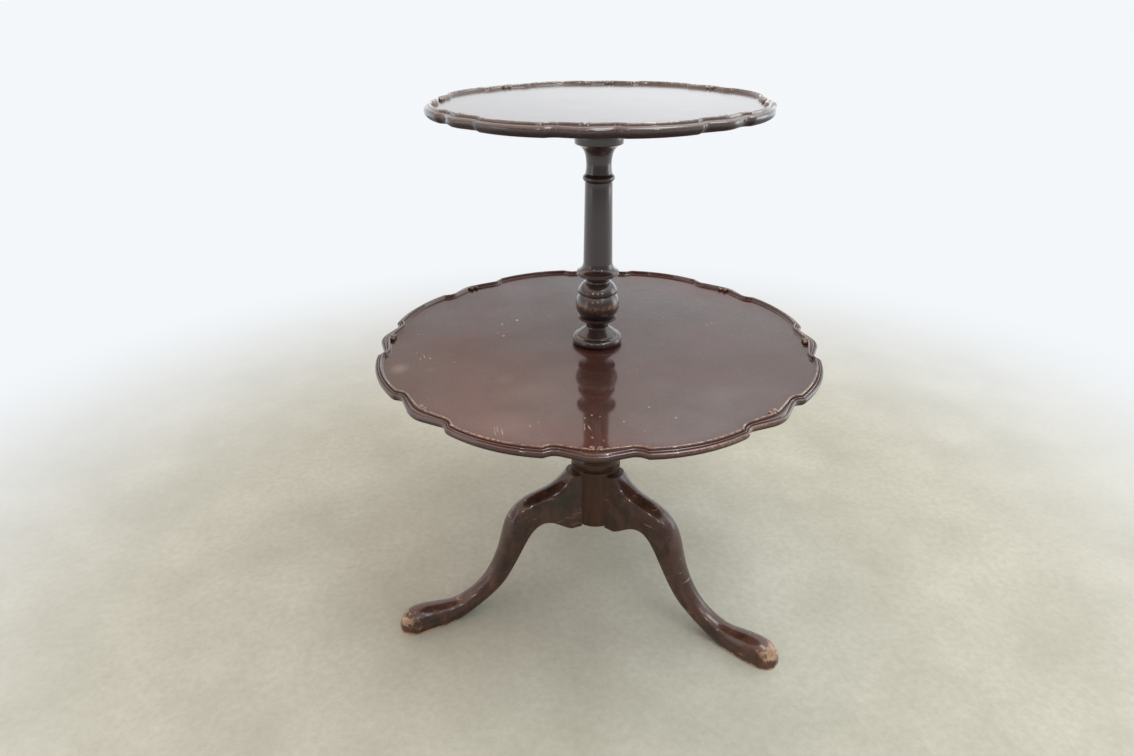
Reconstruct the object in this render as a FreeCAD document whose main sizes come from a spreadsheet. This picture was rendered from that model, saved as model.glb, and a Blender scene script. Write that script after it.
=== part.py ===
import FreeCAD, Part
import Sketcher
import math
import os

# Two-tier piecrust tripod table (dumbwaiter form): a turned pillar on three cabriole legs
# carries a revolving lower tray; a turned column stands on the pillar's journal and
# carries a smaller fixed tray.  Millimetres, +Z up, origin on the column axis at the floor.

Vector = FreeCAD.Vector
Rotation = FreeCAD.Rotation
Placement = FreeCAD.Placement

# ---------------------------------------------------------------- driving dimensions
SIZES = {
    # heights above the floor
    "overall_height": 744.0,        # crest of the upper tray's rim
    "lower_tier_height": 426.0,     # crest of the lower tray's rim
    "hub_bottom": 123.0,            # underside of the turned hub
    # trays
    "tray_thickness": 16.0,         # underside to crest
    "tray_depth": 5.5,              # crest down to the flat floor
    "lower_lobe_radius": 306.0,
    "lower_scroll_radius": 303.0,
    "lower_notch_radius": 295.5,
    "upper_lobe_radius": 211.5,
    "upper_scroll_radius": 209.5,
    "upper_notch_radius": 204.0,
    "lower_lobe_arc": 200.0,        # radius of one large lobe's own arc
    "upper_lobe_arc": 138.0,
    "lower_scroll_arc": 25.0,       # rounded point of each scroll bracket
    "upper_scroll_arc": 17.3,
    "lower_notch_arc": 14.0,        # hollow beside each scroll
    "upper_notch_arc": 10.0,
    "notch_angle": 8.2,             # degrees from a scroll's point to its hollows
    # rim moulding, widths measured inward from the outer edge
    "roll_width": 6.4,
    "cove_width": 2.6,
    "bead_width": 2.6,
    "roll_drop": 2.0,               # crest down to the top of the outer roll
    "cove_drop": 3.6,
    "roll_bevel": 4.0,
    "under_bevel": 6.0,
    # bearing and fixings of the trays
    "journal_radius": 15.0,
    "running_clearance": 0.08,
    "tray_lift_gap": 0.5,           # column foot clear of the revolving tray
    "block_radius": 60.0,
    "block_thickness": 14.0,
    "block_bevel": 5.0,
    "washer_radius": 29.0,
    "washer_thickness": 2.0,
    "washer_bore_gap": 0.4,
    "cleat_radius": 54.0,
    "cleat_thickness": 15.0,
    "tenon_radius": 12.5,
    "glue_gap": 0.05,
    "stud_radius": 4.75,
    "stud_reach_down": 58.0,
    "stud_reach_up": 52.0,
    # wood screws
    "screw_radius": 2.0,
    "screw_head_radius": 4.2,
    "screw_head_height": 2.6,
    "screw_bite": 6.0,              # how far a screw enters the piece beyond
    "block_screw_circle": 47.0,
    "cleat_screw_circle": 41.0,
    # upper column radii
    "foot_radius": 34.6,
    "foot_step_radius": 28.0,
    "column_neck_radius": 15.8,
    "saucer_radius": 26.3,
    "ball_seat_radius": 22.0,
    "ball_ring_radius": 26.6,
    "bell_radius": 28.3,
    "shaft_foot_radius": 19.5,
    "shaft_top_radius": 17.7,
    "astragal_seat_radius": 18.8,
    "capital_neck_radius": 17.4,
    "abacus_radius": 30.5,
    # upper column heights above its seat
    "foot_height": 12.0,
    "lower_neck_height": 25.0,
    "saucer_height": 35.5,
    "ball_height": 38.5,
    "ball_length": 31.0,
    "upper_neck_height": 88.0,
    "bell_height": 98.0,
    "shaft_foot_height": 116.0,
    # upper column drops below its shoulder
    "abacus_thickness": 22.5,
    "capital_neck_drop": 37.0,
    "astragal_drop": 62.5,
    "astragal_width": 8.0,
    # pillar
    "hub_radius": 35.5,
    "leg_top_height": 213.0,        # flat tops of the legs, under the collar ring
    "collar_radius": 37.2,
    "collar_width": 8.0,
    "torus_seat_radius": 34.6,
    "torus_width": 17.0,
    "vase_foot_radius": 33.0,
    "vase_shoulder_radius": 29.0,
    "vase_body_height": 45.0,       # the vase's swelling part
    "vase_neck_radius": 19.0,
    "pillar_ring_radius": 24.5,
    "pillar_ring_width": 10.0,
    "pillar_ring_drop": 56.0,       # pillar's shoulder down to the foot of its small ring
    "pillar_cap_radius": 33.0,
    "pillar_cap_width": 9.0,
    # dovetails
    "dovetail_depth": 13.0,
    "dovetail_root": 11.0,
    "dovetail_tail": 16.0,
    "dovetail_stop": 8.0,           # solid hub left above each socket
    "dovetail_overrun": 4.0,        # socket and tongue drawn past the hub's surface
    # legs
    "leg_reach": 319.6,
    "knee_width": 36.0,
    "ankle_width": 28.0,
    "foot_width": 40.0,
    "foot_length": 74.6,            # from the slender instep to the toe
    "foot_rise": 32.5,
    "instep_rise": 28.5,
    "bracket_drop": 3.0,            # leg bracket below the hub's underside
    "arch_rise": 19.5,              # hollow under the knee above the bracket
    "sole_planing": 2.5,            # taken off the rough underside of each foot
    "knee_crown": 12.0,             # rise of a section's rounded top
    "ankle_crown": 8.0,
    "knee_sag": 1.5,                # rise of its rounded underside
    "ankle_sag": 4.0,
    "knee_swell": 0.3,              # bulge of its flanks
    "ankle_swell": 2.8,
    "leg_turn": 75.0,               # heading of the rear leg, degrees from +X
    "lower_tray_turn": 80.5,        # heading of one scroll
    "upper_tray_turn": 76.5,
    # brace under the hub
    "brace_thickness": 2.0,
    "brace_disc_radius": 19.0,
    "brace_arm_width": 14.0,
    "brace_reach": 33.0,
    "brace_screw_circle": 27.5,
    "brace_screw_bite": 16.0,
}

SCALLOPS = 8
LEGS = 3
BLOCK_SCREWS = 4
CLEAT_SCREWS = 4

doc = FreeCAD.newDocument("PiecrustTable")
sheet = doc.addObject("Spreadsheet::Sheet", "Sizes")
for row, (alias, number) in enumerate(SIZES.items(), start=1):
    sheet.set(f"A{row}", alias)
    sheet.set(f"B{row}", str(number))
    sheet.setAlias(f"B{row}", alias)
doc.recompute()


def size(expression):
    """Number of an expression written in the sheet's aliases."""
    return float(sheet.evalExpression(expression))


def bound(expression):
    """The same expression as seen from outside the sheet."""
    words = []
    word = ""
    for letter in expression + " ":
        if letter.isalnum() or letter == "_":
            word += letter
            continue
        words.append(f"Sizes.{word}" if word in SIZES else word)
        words.append(letter)
        word = ""
    return "".join(words).strip()


# Places worked out once from the driving dimensions.
COLUMN_SEAT = "lower_tier_height - tray_depth + tray_lift_gap"
COLUMN_TOP = "overall_height - tray_thickness - cleat_thickness - (" + COLUMN_SEAT + ")"
LOWER_UNDERSIDE = "lower_tier_height - tray_thickness"
BLOCK_UNDERSIDE = "lower_tier_height - tray_thickness - block_thickness"
PILLAR_SHOULDER = BLOCK_UNDERSIDE + " - washer_thickness - hub_bottom"
PILLAR_TOP = COLUMN_SEAT + " - hub_bottom"
HUB_HEIGHT = "leg_top_height - hub_bottom"
UPPER_UNDERSIDE = "overall_height - tray_thickness"
CLEAT_UNDERSIDE = "overall_height - tray_thickness - cleat_thickness"
BEARING_BORE = "journal_radius + running_clearance"


# ---------------------------------------------------------------- building helpers
def new_body(label, height="0", turn=0.0):
    """A body standing at a height on the column axis, turned about it."""
    body = doc.addObject("PartDesign::Body", label)
    body.Label = label
    body.Placement = Placement(Vector(0, 0, size(height)), Rotation(Vector(0, 0, 1), turn))
    if height != "0":
        body.setExpression("Placement.Base.z", bound(height))
    return body


def new_sketch(body, name, role, offset=None):
    """A sketch on one of the body's own origin planes."""
    sketch = body.newObject("Sketcher::SketchObject", name)
    plane = next(item for item in body.Origin.OriginFeatures if item.Role == role)
    sketch.AttachmentSupport = [(plane, "")]
    sketch.MapMode = "FlatFace"
    if offset is not None:
        sketch.AttachmentOffset = offset
    return sketch


def arc_through(start, end, bulge):
    """Arc from start to end; bulge is its rise over half the chord, to the right of travel."""
    middle = (start + end) * 0.5
    travel = end - start
    side = Vector(travel.y, -travel.x, 0)
    return Part.Arc(start, middle + side * (bulge / 2.0), end)


def draw_profile(sketch, stations):
    """Closed outline; each station is (across, up, bulge of the edge that leaves it)."""
    points = [Vector(size(across), size(up), 0) for across, up, _ in stations]
    count = len(points)
    for index, (_, _, bulge) in enumerate(stations):
        start, end = points[index], points[(index + 1) % count]
        edge = arc_through(start, end, bulge) if bulge else Part.LineSegment(start, end)
        sketch.addGeometry(edge, False)
    for index in range(count):
        # an arc's ends swap when it runs clockwise, so joints are found by place
        sketch.addConstraint(Sketcher.Constraint(
            "Coincident", index, end_at(sketch, index, points[(index + 1) % count]),
            (index + 1) % count, end_at(sketch, (index + 1) % count, points[(index + 1) % count])))
    for index, (across, up, _) in enumerate(stations):
        tie_point(sketch, index, end_at(sketch, index, points[index]), across, up)
    for index, (across, up, bulge) in enumerate(stations):
        if bulge:
            next_across, next_up, _ = stations[(index + 1) % count]
            tie_radius(sketch, index, (across, up), (next_across, next_up), bulge)


def end_at(sketch, index, point):
    """Which end of a sketch edge lies at a point: 1 for its start, 2 for its end."""
    near_start = sketch.getPoint(index, 1).distanceToPoint(point)
    near_end = sketch.getPoint(index, 2).distanceToPoint(point)
    return 1 if near_start <= near_end else 2


def tie_point(sketch, index, end, across, up):
    """Holds one end of an edge at an expression's place."""
    for kind, axis, expression in (("DistanceX", -2, across), ("DistanceY", -1, up)):
        number = size(expression)
        if abs(number) < 1e-9:
            sketch.addConstraint(Sketcher.Constraint("PointOnObject", index, end, axis))
            continue
        made = sketch.addConstraint(Sketcher.Constraint(kind, -1, 1, index, end, number))
        sketch.setExpression(f"Constraints[{made}]", bound(expression))


def tie_radius(sketch, index, start, end, bulge):
    """Holds an arc's radius to its chord, so that the arc keeps its roundness."""
    run = f"(({end[0]}) - ({start[0]}))"
    rise = f"(({end[1]}) - ({start[1]}))"
    roundness = (1 + bulge * bulge) / (4 * abs(bulge))
    expression = f"sqrt({run} * {run} + {rise} * {rise}) * {roundness:.6f}"
    made = sketch.addConstraint(Sketcher.Constraint("Radius", index, size(expression)))
    sketch.setExpression(f"Constraints[{made}]", bound(expression))


def revolve(body, name, stations, out="0"):
    """Turns an outline of (radius, height, bulge) about the Z axis or a line beside it."""
    sketch = new_sketch(body, name + "Profile", "XZ_Plane",
                        Placement(Vector(size(out), 0, 0), Rotation()))
    if out != "0":
        sketch.setExpression("AttachmentOffset.Base.x", bound(out))
    draw_profile(sketch, stations)
    turned = body.newObject("PartDesign::Revolution", name)
    turned.Profile = sketch
    turned.ReferenceAxis = (sketch, ["V_Axis"])
    turned.Angle = 360.0
    return turned


def level_sketch(body, name, edges, base):
    """Horizontal sketch of given edges at a height in the body."""
    sketch = new_sketch(body, name, "XY_Plane", Placement(Vector(0, 0, size(base)), Rotation()))
    if base != "0":
        sketch.setExpression("AttachmentOffset.Base.z", bound(base))
    sketch.addGeometry(edges, False)
    return sketch


def pad(body, name, edges, base, length):
    """Pad of a sketch of given edges from a base height."""
    sketch = level_sketch(body, name + "Outline", edges, base)
    feature = body.newObject("PartDesign::Pad", name)
    feature.Profile = sketch
    feature.Length = size(length)
    feature.setExpression("Length", bound(length))
    return feature


def pocket(body, name, edges, base, depth, upward=False):
    """Pocket of a sketch of given edges, cutting down from a height unless upward."""
    sketch = level_sketch(body, name + "Outline", edges, base)
    feature = body.newObject("PartDesign::Pocket", name)
    feature.Profile = sketch
    feature.Length = size(depth)
    feature.setExpression("Length", bound(depth))
    feature.Reversed = upward
    return feature


def polar(body, name, feature, count):
    """Repeats a feature about the body's Z axis."""
    axis = next(item for item in body.Origin.OriginFeatures if item.Role == "Z_Axis")
    pattern = body.newObject("PartDesign::PolarPattern", name)
    pattern.Originals = [feature]
    pattern.Axis = (axis, [""])
    pattern.Angle = 360.0
    pattern.Occurrences = count
    body.Tip = pattern
    return pattern


def closed(corners):
    """Straight edges from corner to corner and back to the first."""
    return [Part.LineSegment(start, end)
            for start, end in zip(corners, corners[1:] + corners[:1])]


def circle(radius, across=0.0, up=0.0):
    """Full circle for a sketch."""
    return Part.Circle(Vector(across, up, 0), Vector(0, 0, 1), radius)


# ---------------------------------------------------------------- piecrust trays
def polar_point(radius, degrees):
    angle = math.radians(degrees)
    return Vector(radius * math.cos(angle), radius * math.sin(angle), 0)


def circles_meet(first, first_radius, second, second_radius):
    """The meeting point of two circles that is farther from the tray's centre."""
    apart = second - first
    gap = apart.Length
    along = (gap * gap + first_radius ** 2 - second_radius ** 2) / (2 * gap)
    across = math.sqrt(max(first_radius ** 2 - along ** 2, 0.0))
    unit = Vector(apart).normalize()
    side = Vector(-unit.y, unit.x, 0)
    foot = first + unit * along
    options = (foot + side * across, foot - side * across)
    return max(options, key=lambda option: option.Length)


def arc_middle(centre, radius, start, end):
    """Middle of the short arc from start to end."""
    return centre + Vector((start - centre) + (end - centre)).normalize() * radius


def scallop_points(tier, inset):
    """Half a repeat of a tray's outline, moved inward by inset: (start, middle, end) edges.

    It runs from a scroll's point down its flank into a hollow, up to the nose of the lobe
    and along the lobe to its crown.
    """
    half_step = 180.0 / SCALLOPS
    lobe_radius = size(f"{tier}_lobe_radius")
    lobe_arc = size(f"{tier}_lobe_arc")
    notch_arc = size(f"{tier}_notch_arc")
    lobe_centre = polar_point(lobe_radius - lobe_arc, half_step)
    notch_centre = polar_point(size(f"{tier}_notch_radius") + notch_arc, size("notch_angle"))
    scroll_arc = size(f"{tier}_scroll_arc")
    scroll_centre = Vector(size(f"{tier}_scroll_radius") - scroll_arc, 0, 0)
    # the bracket's straight flank touches the circles of its point and of the hollow
    apart = notch_centre - scroll_centre
    outward = math.atan2(apart.y, apart.x) - math.acos((scroll_arc + notch_arc) / apart.Length)
    flank_normal = Vector(math.cos(outward), math.sin(outward), 0)

    scroll = scroll_arc - inset
    notch = notch_arc + inset
    lobe = lobe_arc - inset
    tip = scroll_centre + Vector(scroll, 0, 0)
    flank_start = scroll_centre + flank_normal * scroll
    flank_end = notch_centre - flank_normal * notch
    nose = circles_meet(lobe_centre, lobe, notch_centre, notch)
    crown = polar_point(lobe_radius - inset, half_step)
    return [
        (tip, arc_middle(scroll_centre, scroll, tip, flank_start), flank_start),
        (flank_start, None, flank_end),
        (flank_end, arc_middle(notch_centre, notch, flank_end, nose), nose),
        (nose, arc_middle(lobe_centre, lobe, nose, crown), crown),
    ]


def mirrored(point):
    return Vector(point.x, -point.y, 0)


def turned_by(point, degrees):
    return Rotation(Vector(0, 0, 1), degrees).multVec(point)


def scallop_outline(tier, inset=0.0):
    """Closed outline of a tray, every point moved inward by inset."""
    half = scallop_points(tier, inset)
    lobe_start, lobe_middle, lobe_end = half[-1]
    edges = []
    step = 360.0 / SCALLOPS
    for index in range(SCALLOPS):
        angle = index * step
        for start, middle, end in half[:-1]:
            for flip in (False, True):
                ends = (start, middle, end)
                if flip:
                    ends = tuple(None if point is None else mirrored(point) for point in ends)
                first, through, last = (
                    None if point is None else turned_by(point, angle) for point in ends)
                if through is None:
                    edges.append(Part.LineSegment(first, last))
                else:
                    edges.append(Part.Arc(first, through, last))
        next_start = turned_by(mirrored(lobe_start), step)
        edges.append(Part.Arc(turned_by(lobe_start, angle), turned_by(lobe_end, angle),
                              turned_by(next_start, angle)))
    return edges


def edges_at(feature, height, inside=0.0, outside=1e9):
    """Names of a shape's edges lying in one level and one band of radii."""
    names = []
    for index, edge in enumerate(feature.Shape.Edges, start=1):
        box = edge.BoundBox
        if abs(box.ZMin - height) > 1e-4 or abs(box.ZMax - height) > 1e-4:
            continue
        middle = edge.valueAt((edge.FirstParameter + edge.LastParameter) / 2)
        if inside < math.hypot(middle.x, middle.y) < outside:
            names.append(f"Edge{index}")
    return names


def chamfer(body, name, base, edges, across, down):
    """Bevel of two different legs along some edges."""
    bevel = body.newObject("PartDesign::Chamfer", name)
    bevel.Base = (base, edges)
    bevel.ChamferType = "Two distances"
    bevel.Size = size(across)
    bevel.Size2 = size(down)
    bevel.setExpression("Size", bound(across))
    bevel.setExpression("Size2", bound(down))
    return bevel


def build_tray(tier, label, height, turn):
    """Dished board with a moulded piecrust rim, its underside at the body's origin."""
    body = new_body(label, height, size(turn))
    roll_top = "tray_thickness - roll_drop"
    roll = size("roll_width")
    cove = roll + size("cove_width")
    bead = cove + size("bead_width")
    inner = size(f"{tier}_notch_radius") - bead
    board = pad(body, "Board", scallop_outline(tier), "0", roll_top)
    doc.recompute()
    under = chamfer(body, "UnderBevel", board, edges_at(board, 0.0, inner),
                    "under_bevel", "under_bevel")
    doc.recompute()
    chamfer(body, "RollBevel", under, edges_at(under, size(roll_top), inner),
            "roll_bevel", "roll_bevel")
    pocket(body, "Cove", scallop_outline(tier, roll) + scallop_outline(tier, cove),
           roll_top, "cove_drop - roll_drop")
    pad(body, "Bead", scallop_outline(tier, cove) + scallop_outline(tier, bead),
        roll_top, "roll_drop")
    pocket(body, "Floor", scallop_outline(tier, bead), roll_top, "tray_depth - roll_drop")
    return body


# ---------------------------------------------------------------- screws and their holes
def drill(body, name, circle_size, count, base, depth, upward=True):
    """Ring of plain holes, bored up from a level of the body."""
    hole = pocket(body, name, [circle(size("screw_radius"), size(circle_size))],
                  base, depth, upward)
    return polar(body, name + "Ring", hole, count)


def countersink(body, name, circle_size, count):
    """Ring of countersinks in the underside of a block."""
    sketch = new_sketch(body, name + "Profile", "XZ_Plane",
                        Placement(Vector(size(circle_size), 0, 0), Rotation()))
    sketch.setExpression("AttachmentOffset.Base.x", bound(circle_size))
    draw_profile(sketch, [("0", "0", 0), ("screw_head_radius", "0", 0),
                          ("screw_radius", "screw_head_height", 0),
                          ("0", "screw_head_height", 0)])
    cone = body.newObject("PartDesign::Groove", name)
    cone.Profile = sketch
    cone.ReferenceAxis = (sketch, ["V_Axis"])
    cone.Angle = 360.0
    return polar(body, name + "Ring", cone, count)


def build_screws(label, height, turn, circle_size, count, through):
    """Ring of countersunk wood screws, heads at the body's origin, points up."""
    body = new_body(label, height, size(turn))
    length = f"{through} + screw_bite"
    screw = revolve(body, "Screw", [
        ("0", "0", 0), ("screw_head_radius", "0", 0),
        ("screw_radius", "screw_head_height", 0), ("screw_radius", length, 0),
        ("0", length, 0)], circle_size)
    polar(body, "ScrewRing", screw, count)
    return body


def build_block(label, height, turn, radius, thickness, bore, circle_size, count):
    """Turned block with a bevelled lower edge, a bore and a ring of countersunk holes."""
    body = new_body(label, height, size(turn))
    revolve(body, "Disc", [
        (bore, "0", 0), (f"{radius} - block_bevel", "0", 0),
        (radius, "block_bevel", 0), (radius, thickness, 0), (bore, thickness, 0)])
    drill(body, "Hole", circle_size, count, "0", thickness)
    countersink(body, "Sink", circle_size, count)
    return body


# ---------------------------------------------------------------- revolving lower tier
lower_tray = build_tray("lower", "lower_tray", LOWER_UNDERSIDE, "lower_tray_turn")
pocket(lower_tray, "Bore", [circle(size(BEARING_BORE))], "0", "tray_thickness", True)
drill(lower_tray, "Pilot", "block_screw_circle", BLOCK_SCREWS, "0", "screw_bite")

build_block("bearing_block", BLOCK_UNDERSIDE, "lower_tray_turn", "block_radius",
            "block_thickness", BEARING_BORE, "block_screw_circle", BLOCK_SCREWS)
build_screws("block_screws", BLOCK_UNDERSIDE, "lower_tray_turn", "block_screw_circle",
             BLOCK_SCREWS, "block_thickness")

# ---------------------------------------------------------------- fixed upper tier
upper_tray = build_tray("upper", "upper_tray", UPPER_UNDERSIDE, "upper_tray_turn")
drill(upper_tray, "Pilot", "cleat_screw_circle", CLEAT_SCREWS, "0", "screw_bite")

build_block("upper_cleat", CLEAT_UNDERSIDE, "upper_tray_turn", "cleat_radius",
            "cleat_thickness", "tenon_radius + glue_gap", "cleat_screw_circle", CLEAT_SCREWS)
build_screws("cleat_screws", CLEAT_UNDERSIDE, "upper_tray_turn", "cleat_screw_circle",
             CLEAT_SCREWS, "cleat_thickness")

# Turned column, from its foot up to the tenon, then down the stud's bore.
upper_column = new_body("upper_column", COLUMN_SEAT)
revolve(upper_column, "Turning", [
    ("stud_radius", "0", 0),
    ("foot_radius", "0", 0.5),                                  # ovolo foot
    ("foot_step_radius + 0.6", "foot_height", 0),
    ("foot_step_radius", "foot_height + 2", 0),
    ("column_neck_radius", "lower_neck_height - 2", -0.2),
    ("column_neck_radius", "lower_neck_height + 2", -0.3),      # saucer
    ("saucer_radius", "saucer_height", 0),
    ("saucer_radius", "ball_height", 0),
    ("ball_seat_radius", "ball_height", 0.43),                  # ball and its ring
    ("ball_seat_radius + 2.5", "ball_height + ball_length", 0),
    ("ball_ring_radius", "ball_height + ball_length + 1.5", 0),
    ("ball_ring_radius", "ball_height + ball_length + 5.5", 0.3),
    ("column_neck_radius", "upper_neck_height - 2", -0.2),
    ("column_neck_radius", "upper_neck_height + 2", -0.25),     # bell
    ("bell_radius", "bell_height", 0),
    ("bell_radius", "bell_height + 5.5", -0.3),
    ("shaft_foot_radius", "shaft_foot_height", 0),              # tapered shaft
    ("shaft_top_radius", f"{COLUMN_TOP} - astragal_drop - astragal_width - 2", 0),
    ("astragal_seat_radius", f"{COLUMN_TOP} - astragal_drop - astragal_width", 0.45),
    ("astragal_seat_radius", f"{COLUMN_TOP} - astragal_drop", 0),
    ("capital_neck_radius", f"{COLUMN_TOP} - astragal_drop + 2", -0.1),
    ("capital_neck_radius", f"{COLUMN_TOP} - capital_neck_drop", -0.29),
    ("abacus_radius", f"{COLUMN_TOP} - abacus_thickness", 0),
    ("abacus_radius", COLUMN_TOP, 0),
    ("tenon_radius", COLUMN_TOP, 0),
    ("tenon_radius", f"{COLUMN_TOP} + cleat_thickness", 0),
    ("0", f"{COLUMN_TOP} + cleat_thickness", 0),
    ("0", "stud_reach_up", 0),
    ("stud_radius", "stud_reach_up", 0),
])

centre_stud = new_body("centre_stud", f"{COLUMN_SEAT} - stud_reach_down")
revolve(centre_stud, "Dowel", [
    ("0", "0", 0), ("stud_radius - 1", "0", 0), ("stud_radius", "1", 0),
    ("stud_radius", "stud_reach_down + stud_reach_up - 1", 0),
    ("stud_radius - 1", "stud_reach_down + stud_reach_up", 0),
    ("0", "stud_reach_down + stud_reach_up", 0)])

# ---------------------------------------------------------------- pillar
pillar = new_body("pillar", "hub_bottom", size("leg_turn"))
COLLAR_TOP = HUB_HEIGHT + " + collar_width"
TORUS_TOP = COLLAR_TOP + " + 2 + torus_width"
revolve(pillar, "Turning", [
    ("0", "0", 0),
    ("hub_radius", "0", 0),
    ("hub_radius", HUB_HEIGHT, 0),                              # hub, then its collar ring
    ("collar_radius", HUB_HEIGHT, 0),
    ("collar_radius", COLLAR_TOP, 0),
    ("torus_seat_radius", COLLAR_TOP, 0),
    ("torus_seat_radius", f"{COLLAR_TOP} + 2", 0.42),           # torus
    ("torus_seat_radius", TORUS_TOP, 0),
    ("vase_foot_radius - 2", f"{TORUS_TOP} + 2", 0),
    ("vase_foot_radius - 2", f"{TORUS_TOP} + 6", 0),
    ("vase_foot_radius", f"{TORUS_TOP} + 6", 0.2),              # vase
    ("vase_shoulder_radius", f"{TORUS_TOP} + 6 + vase_body_height", -0.12),
    ("vase_neck_radius", f"{PILLAR_SHOULDER} - pillar_ring_drop - 3", 0),
    ("pillar_ring_radius", f"{PILLAR_SHOULDER} - pillar_ring_drop", 0),
    ("pillar_ring_radius", f"{PILLAR_SHOULDER} - pillar_ring_drop + pillar_ring_width", 0),
    ("vase_neck_radius", f"{PILLAR_SHOULDER} - pillar_ring_drop + pillar_ring_width + 3",
     -0.25),
    ("pillar_cap_radius - 2", f"{PILLAR_SHOULDER} - pillar_cap_width", 0),
    ("pillar_cap_radius", f"{PILLAR_SHOULDER} - pillar_cap_width", 0),
    ("pillar_cap_radius", PILLAR_SHOULDER, 0),
    ("journal_radius", PILLAR_SHOULDER, 0),                     # journal of the tray
    ("journal_radius", PILLAR_TOP, 0),
    ("stud_radius", PILLAR_TOP, 0),
    ("stud_radius", f"{PILLAR_TOP} - stud_reach_down", 0),
    ("0", f"{PILLAR_TOP} - stud_reach_down", 0),
])


def dovetail_edges(outer, clearance):
    """Dovetail plan on the local X axis, from its tail out to a radius."""
    tail = size("hub_radius - dovetail_depth")
    slope = size("(dovetail_tail - dovetail_root) / 2 / dovetail_depth")
    half_tail = size("dovetail_tail") / 2 - clearance
    half_root = half_tail - slope * (outer - tail)
    corners = [Vector(tail + clearance, -half_tail, 0), Vector(outer, -half_root, 0),
               Vector(outer, half_root, 0), Vector(tail + clearance, half_tail, 0)]
    return closed(corners)


socket = pocket(pillar, "Socket", dovetail_edges(size("hub_radius + dovetail_overrun"), 0.0), "0",
                f"{HUB_HEIGHT} - dovetail_stop", True)
polar(pillar, "Sockets", socket, LEGS)
pocket(pillar, "BracePilot", [circle(size("screw_radius"))], "0", "brace_screw_bite", True)

thrust_washer = new_body("thrust_washer", f"{BLOCK_UNDERSIDE} - washer_thickness")
pad(thrust_washer, "Ring", [circle(size("washer_radius")),
                            circle(size("journal_radius + washer_bore_gap"))],
    "0", "washer_thickness")

# ---------------------------------------------------------------- cabriole legs
# Sections from the hub to the instep.  Places are shares: along the run from the hub to the
# instep, up from the instep to the flat top, and up from the floor to the arch; the width
# goes from 0 at the ankle to 1 at the knee.
KNEE_TO_ANKLE = [
    # crest along, up    belly along, up    width
    (-0.032, 1.087,      -0.026, 0.817,     1.0),
    (0.042, 1.017,       0.045, 0.846,      1.0),
    (0.215, 0.888,       0.212, 0.993,      1.0),
    (0.320, 0.857,       0.298, 1.000,      1.0),
    (0.412, 0.811,       0.365, 0.921,      1.0),
    (0.499, 0.719,       0.422, 0.781,      0.9),
    (0.594, 0.408,       0.532, 0.473,      0.6),
    (0.714, 0.159,       0.632, 0.265,      0.25),
    (0.857, 0.035,       0.809, 0.072,      0.0),
    (0.928, 0.005,       0.890, 0.014,      0.1),
]
# Upright sections of the slipper foot: share of its length from the instep to the toe,
# share of its rise and share of its width.
FOOT = [
    (0.23, 0.94, 0.93),
    (0.47, 1.00, 1.00),
    (0.67, 0.98, 1.00),
    (0.82, 0.86, 0.90),
    (0.97, 0.47, 0.50),
    (1.00, 0.26, 0.26),
]
FOOT_CROWN = 0.55                   # share of a foot section's height that is rounded
FOOT_SWELL = 0.06


def between(ankle_size, knee_size, share):
    """Size at a share of the way from the ankle to the knee."""
    ankle = size(ankle_size)
    return ankle + share * (size(knee_size) - ankle)


def rectangle(near, far, half_width):
    """Rectangle across the local X axis."""
    corners = [Vector(near, -half_width, 0), Vector(far, -half_width, 0),
               Vector(far, half_width, 0), Vector(near, half_width, 0)]
    return closed(corners)


def leg_section(body, crest, belly, width, crown, sag, side):
    """Closed section between a crest and a belly point of the leg's own plane.

    Its top is an arc with crown of rise, its flanks swell by side, its underside by sag.
    """
    tilt = math.degrees(math.atan2(crest.x - belly.x, crest.y - belly.y))
    offset = Placement(Vector(0, belly.y, belly.x), Rotation(Vector(1, 0, 0), tilt))
    sketch = new_sketch(body, "Section", "YZ_Plane", offset)
    tall = (crest - belly).Length
    half = width / 2
    shoulder, ankle = tall - crown, sag
    right = [Vector(half, ankle, 0), Vector(half + side, (shoulder + ankle) / 2, 0),
             Vector(half, shoulder, 0)]
    left = [Vector(-point.x, point.y, 0) for point in reversed(right)]
    underside = (Part.Arc(left[2], Vector(0, 0, 0), right[0]) if sag
                 else Part.LineSegment(left[2], right[0]))
    sketch.addGeometry([underside, Part.Arc(*right),
                        Part.Arc(right[2], Vector(0, tall, 0), left[0]), Part.Arc(*left)], False)
    return sketch


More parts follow.
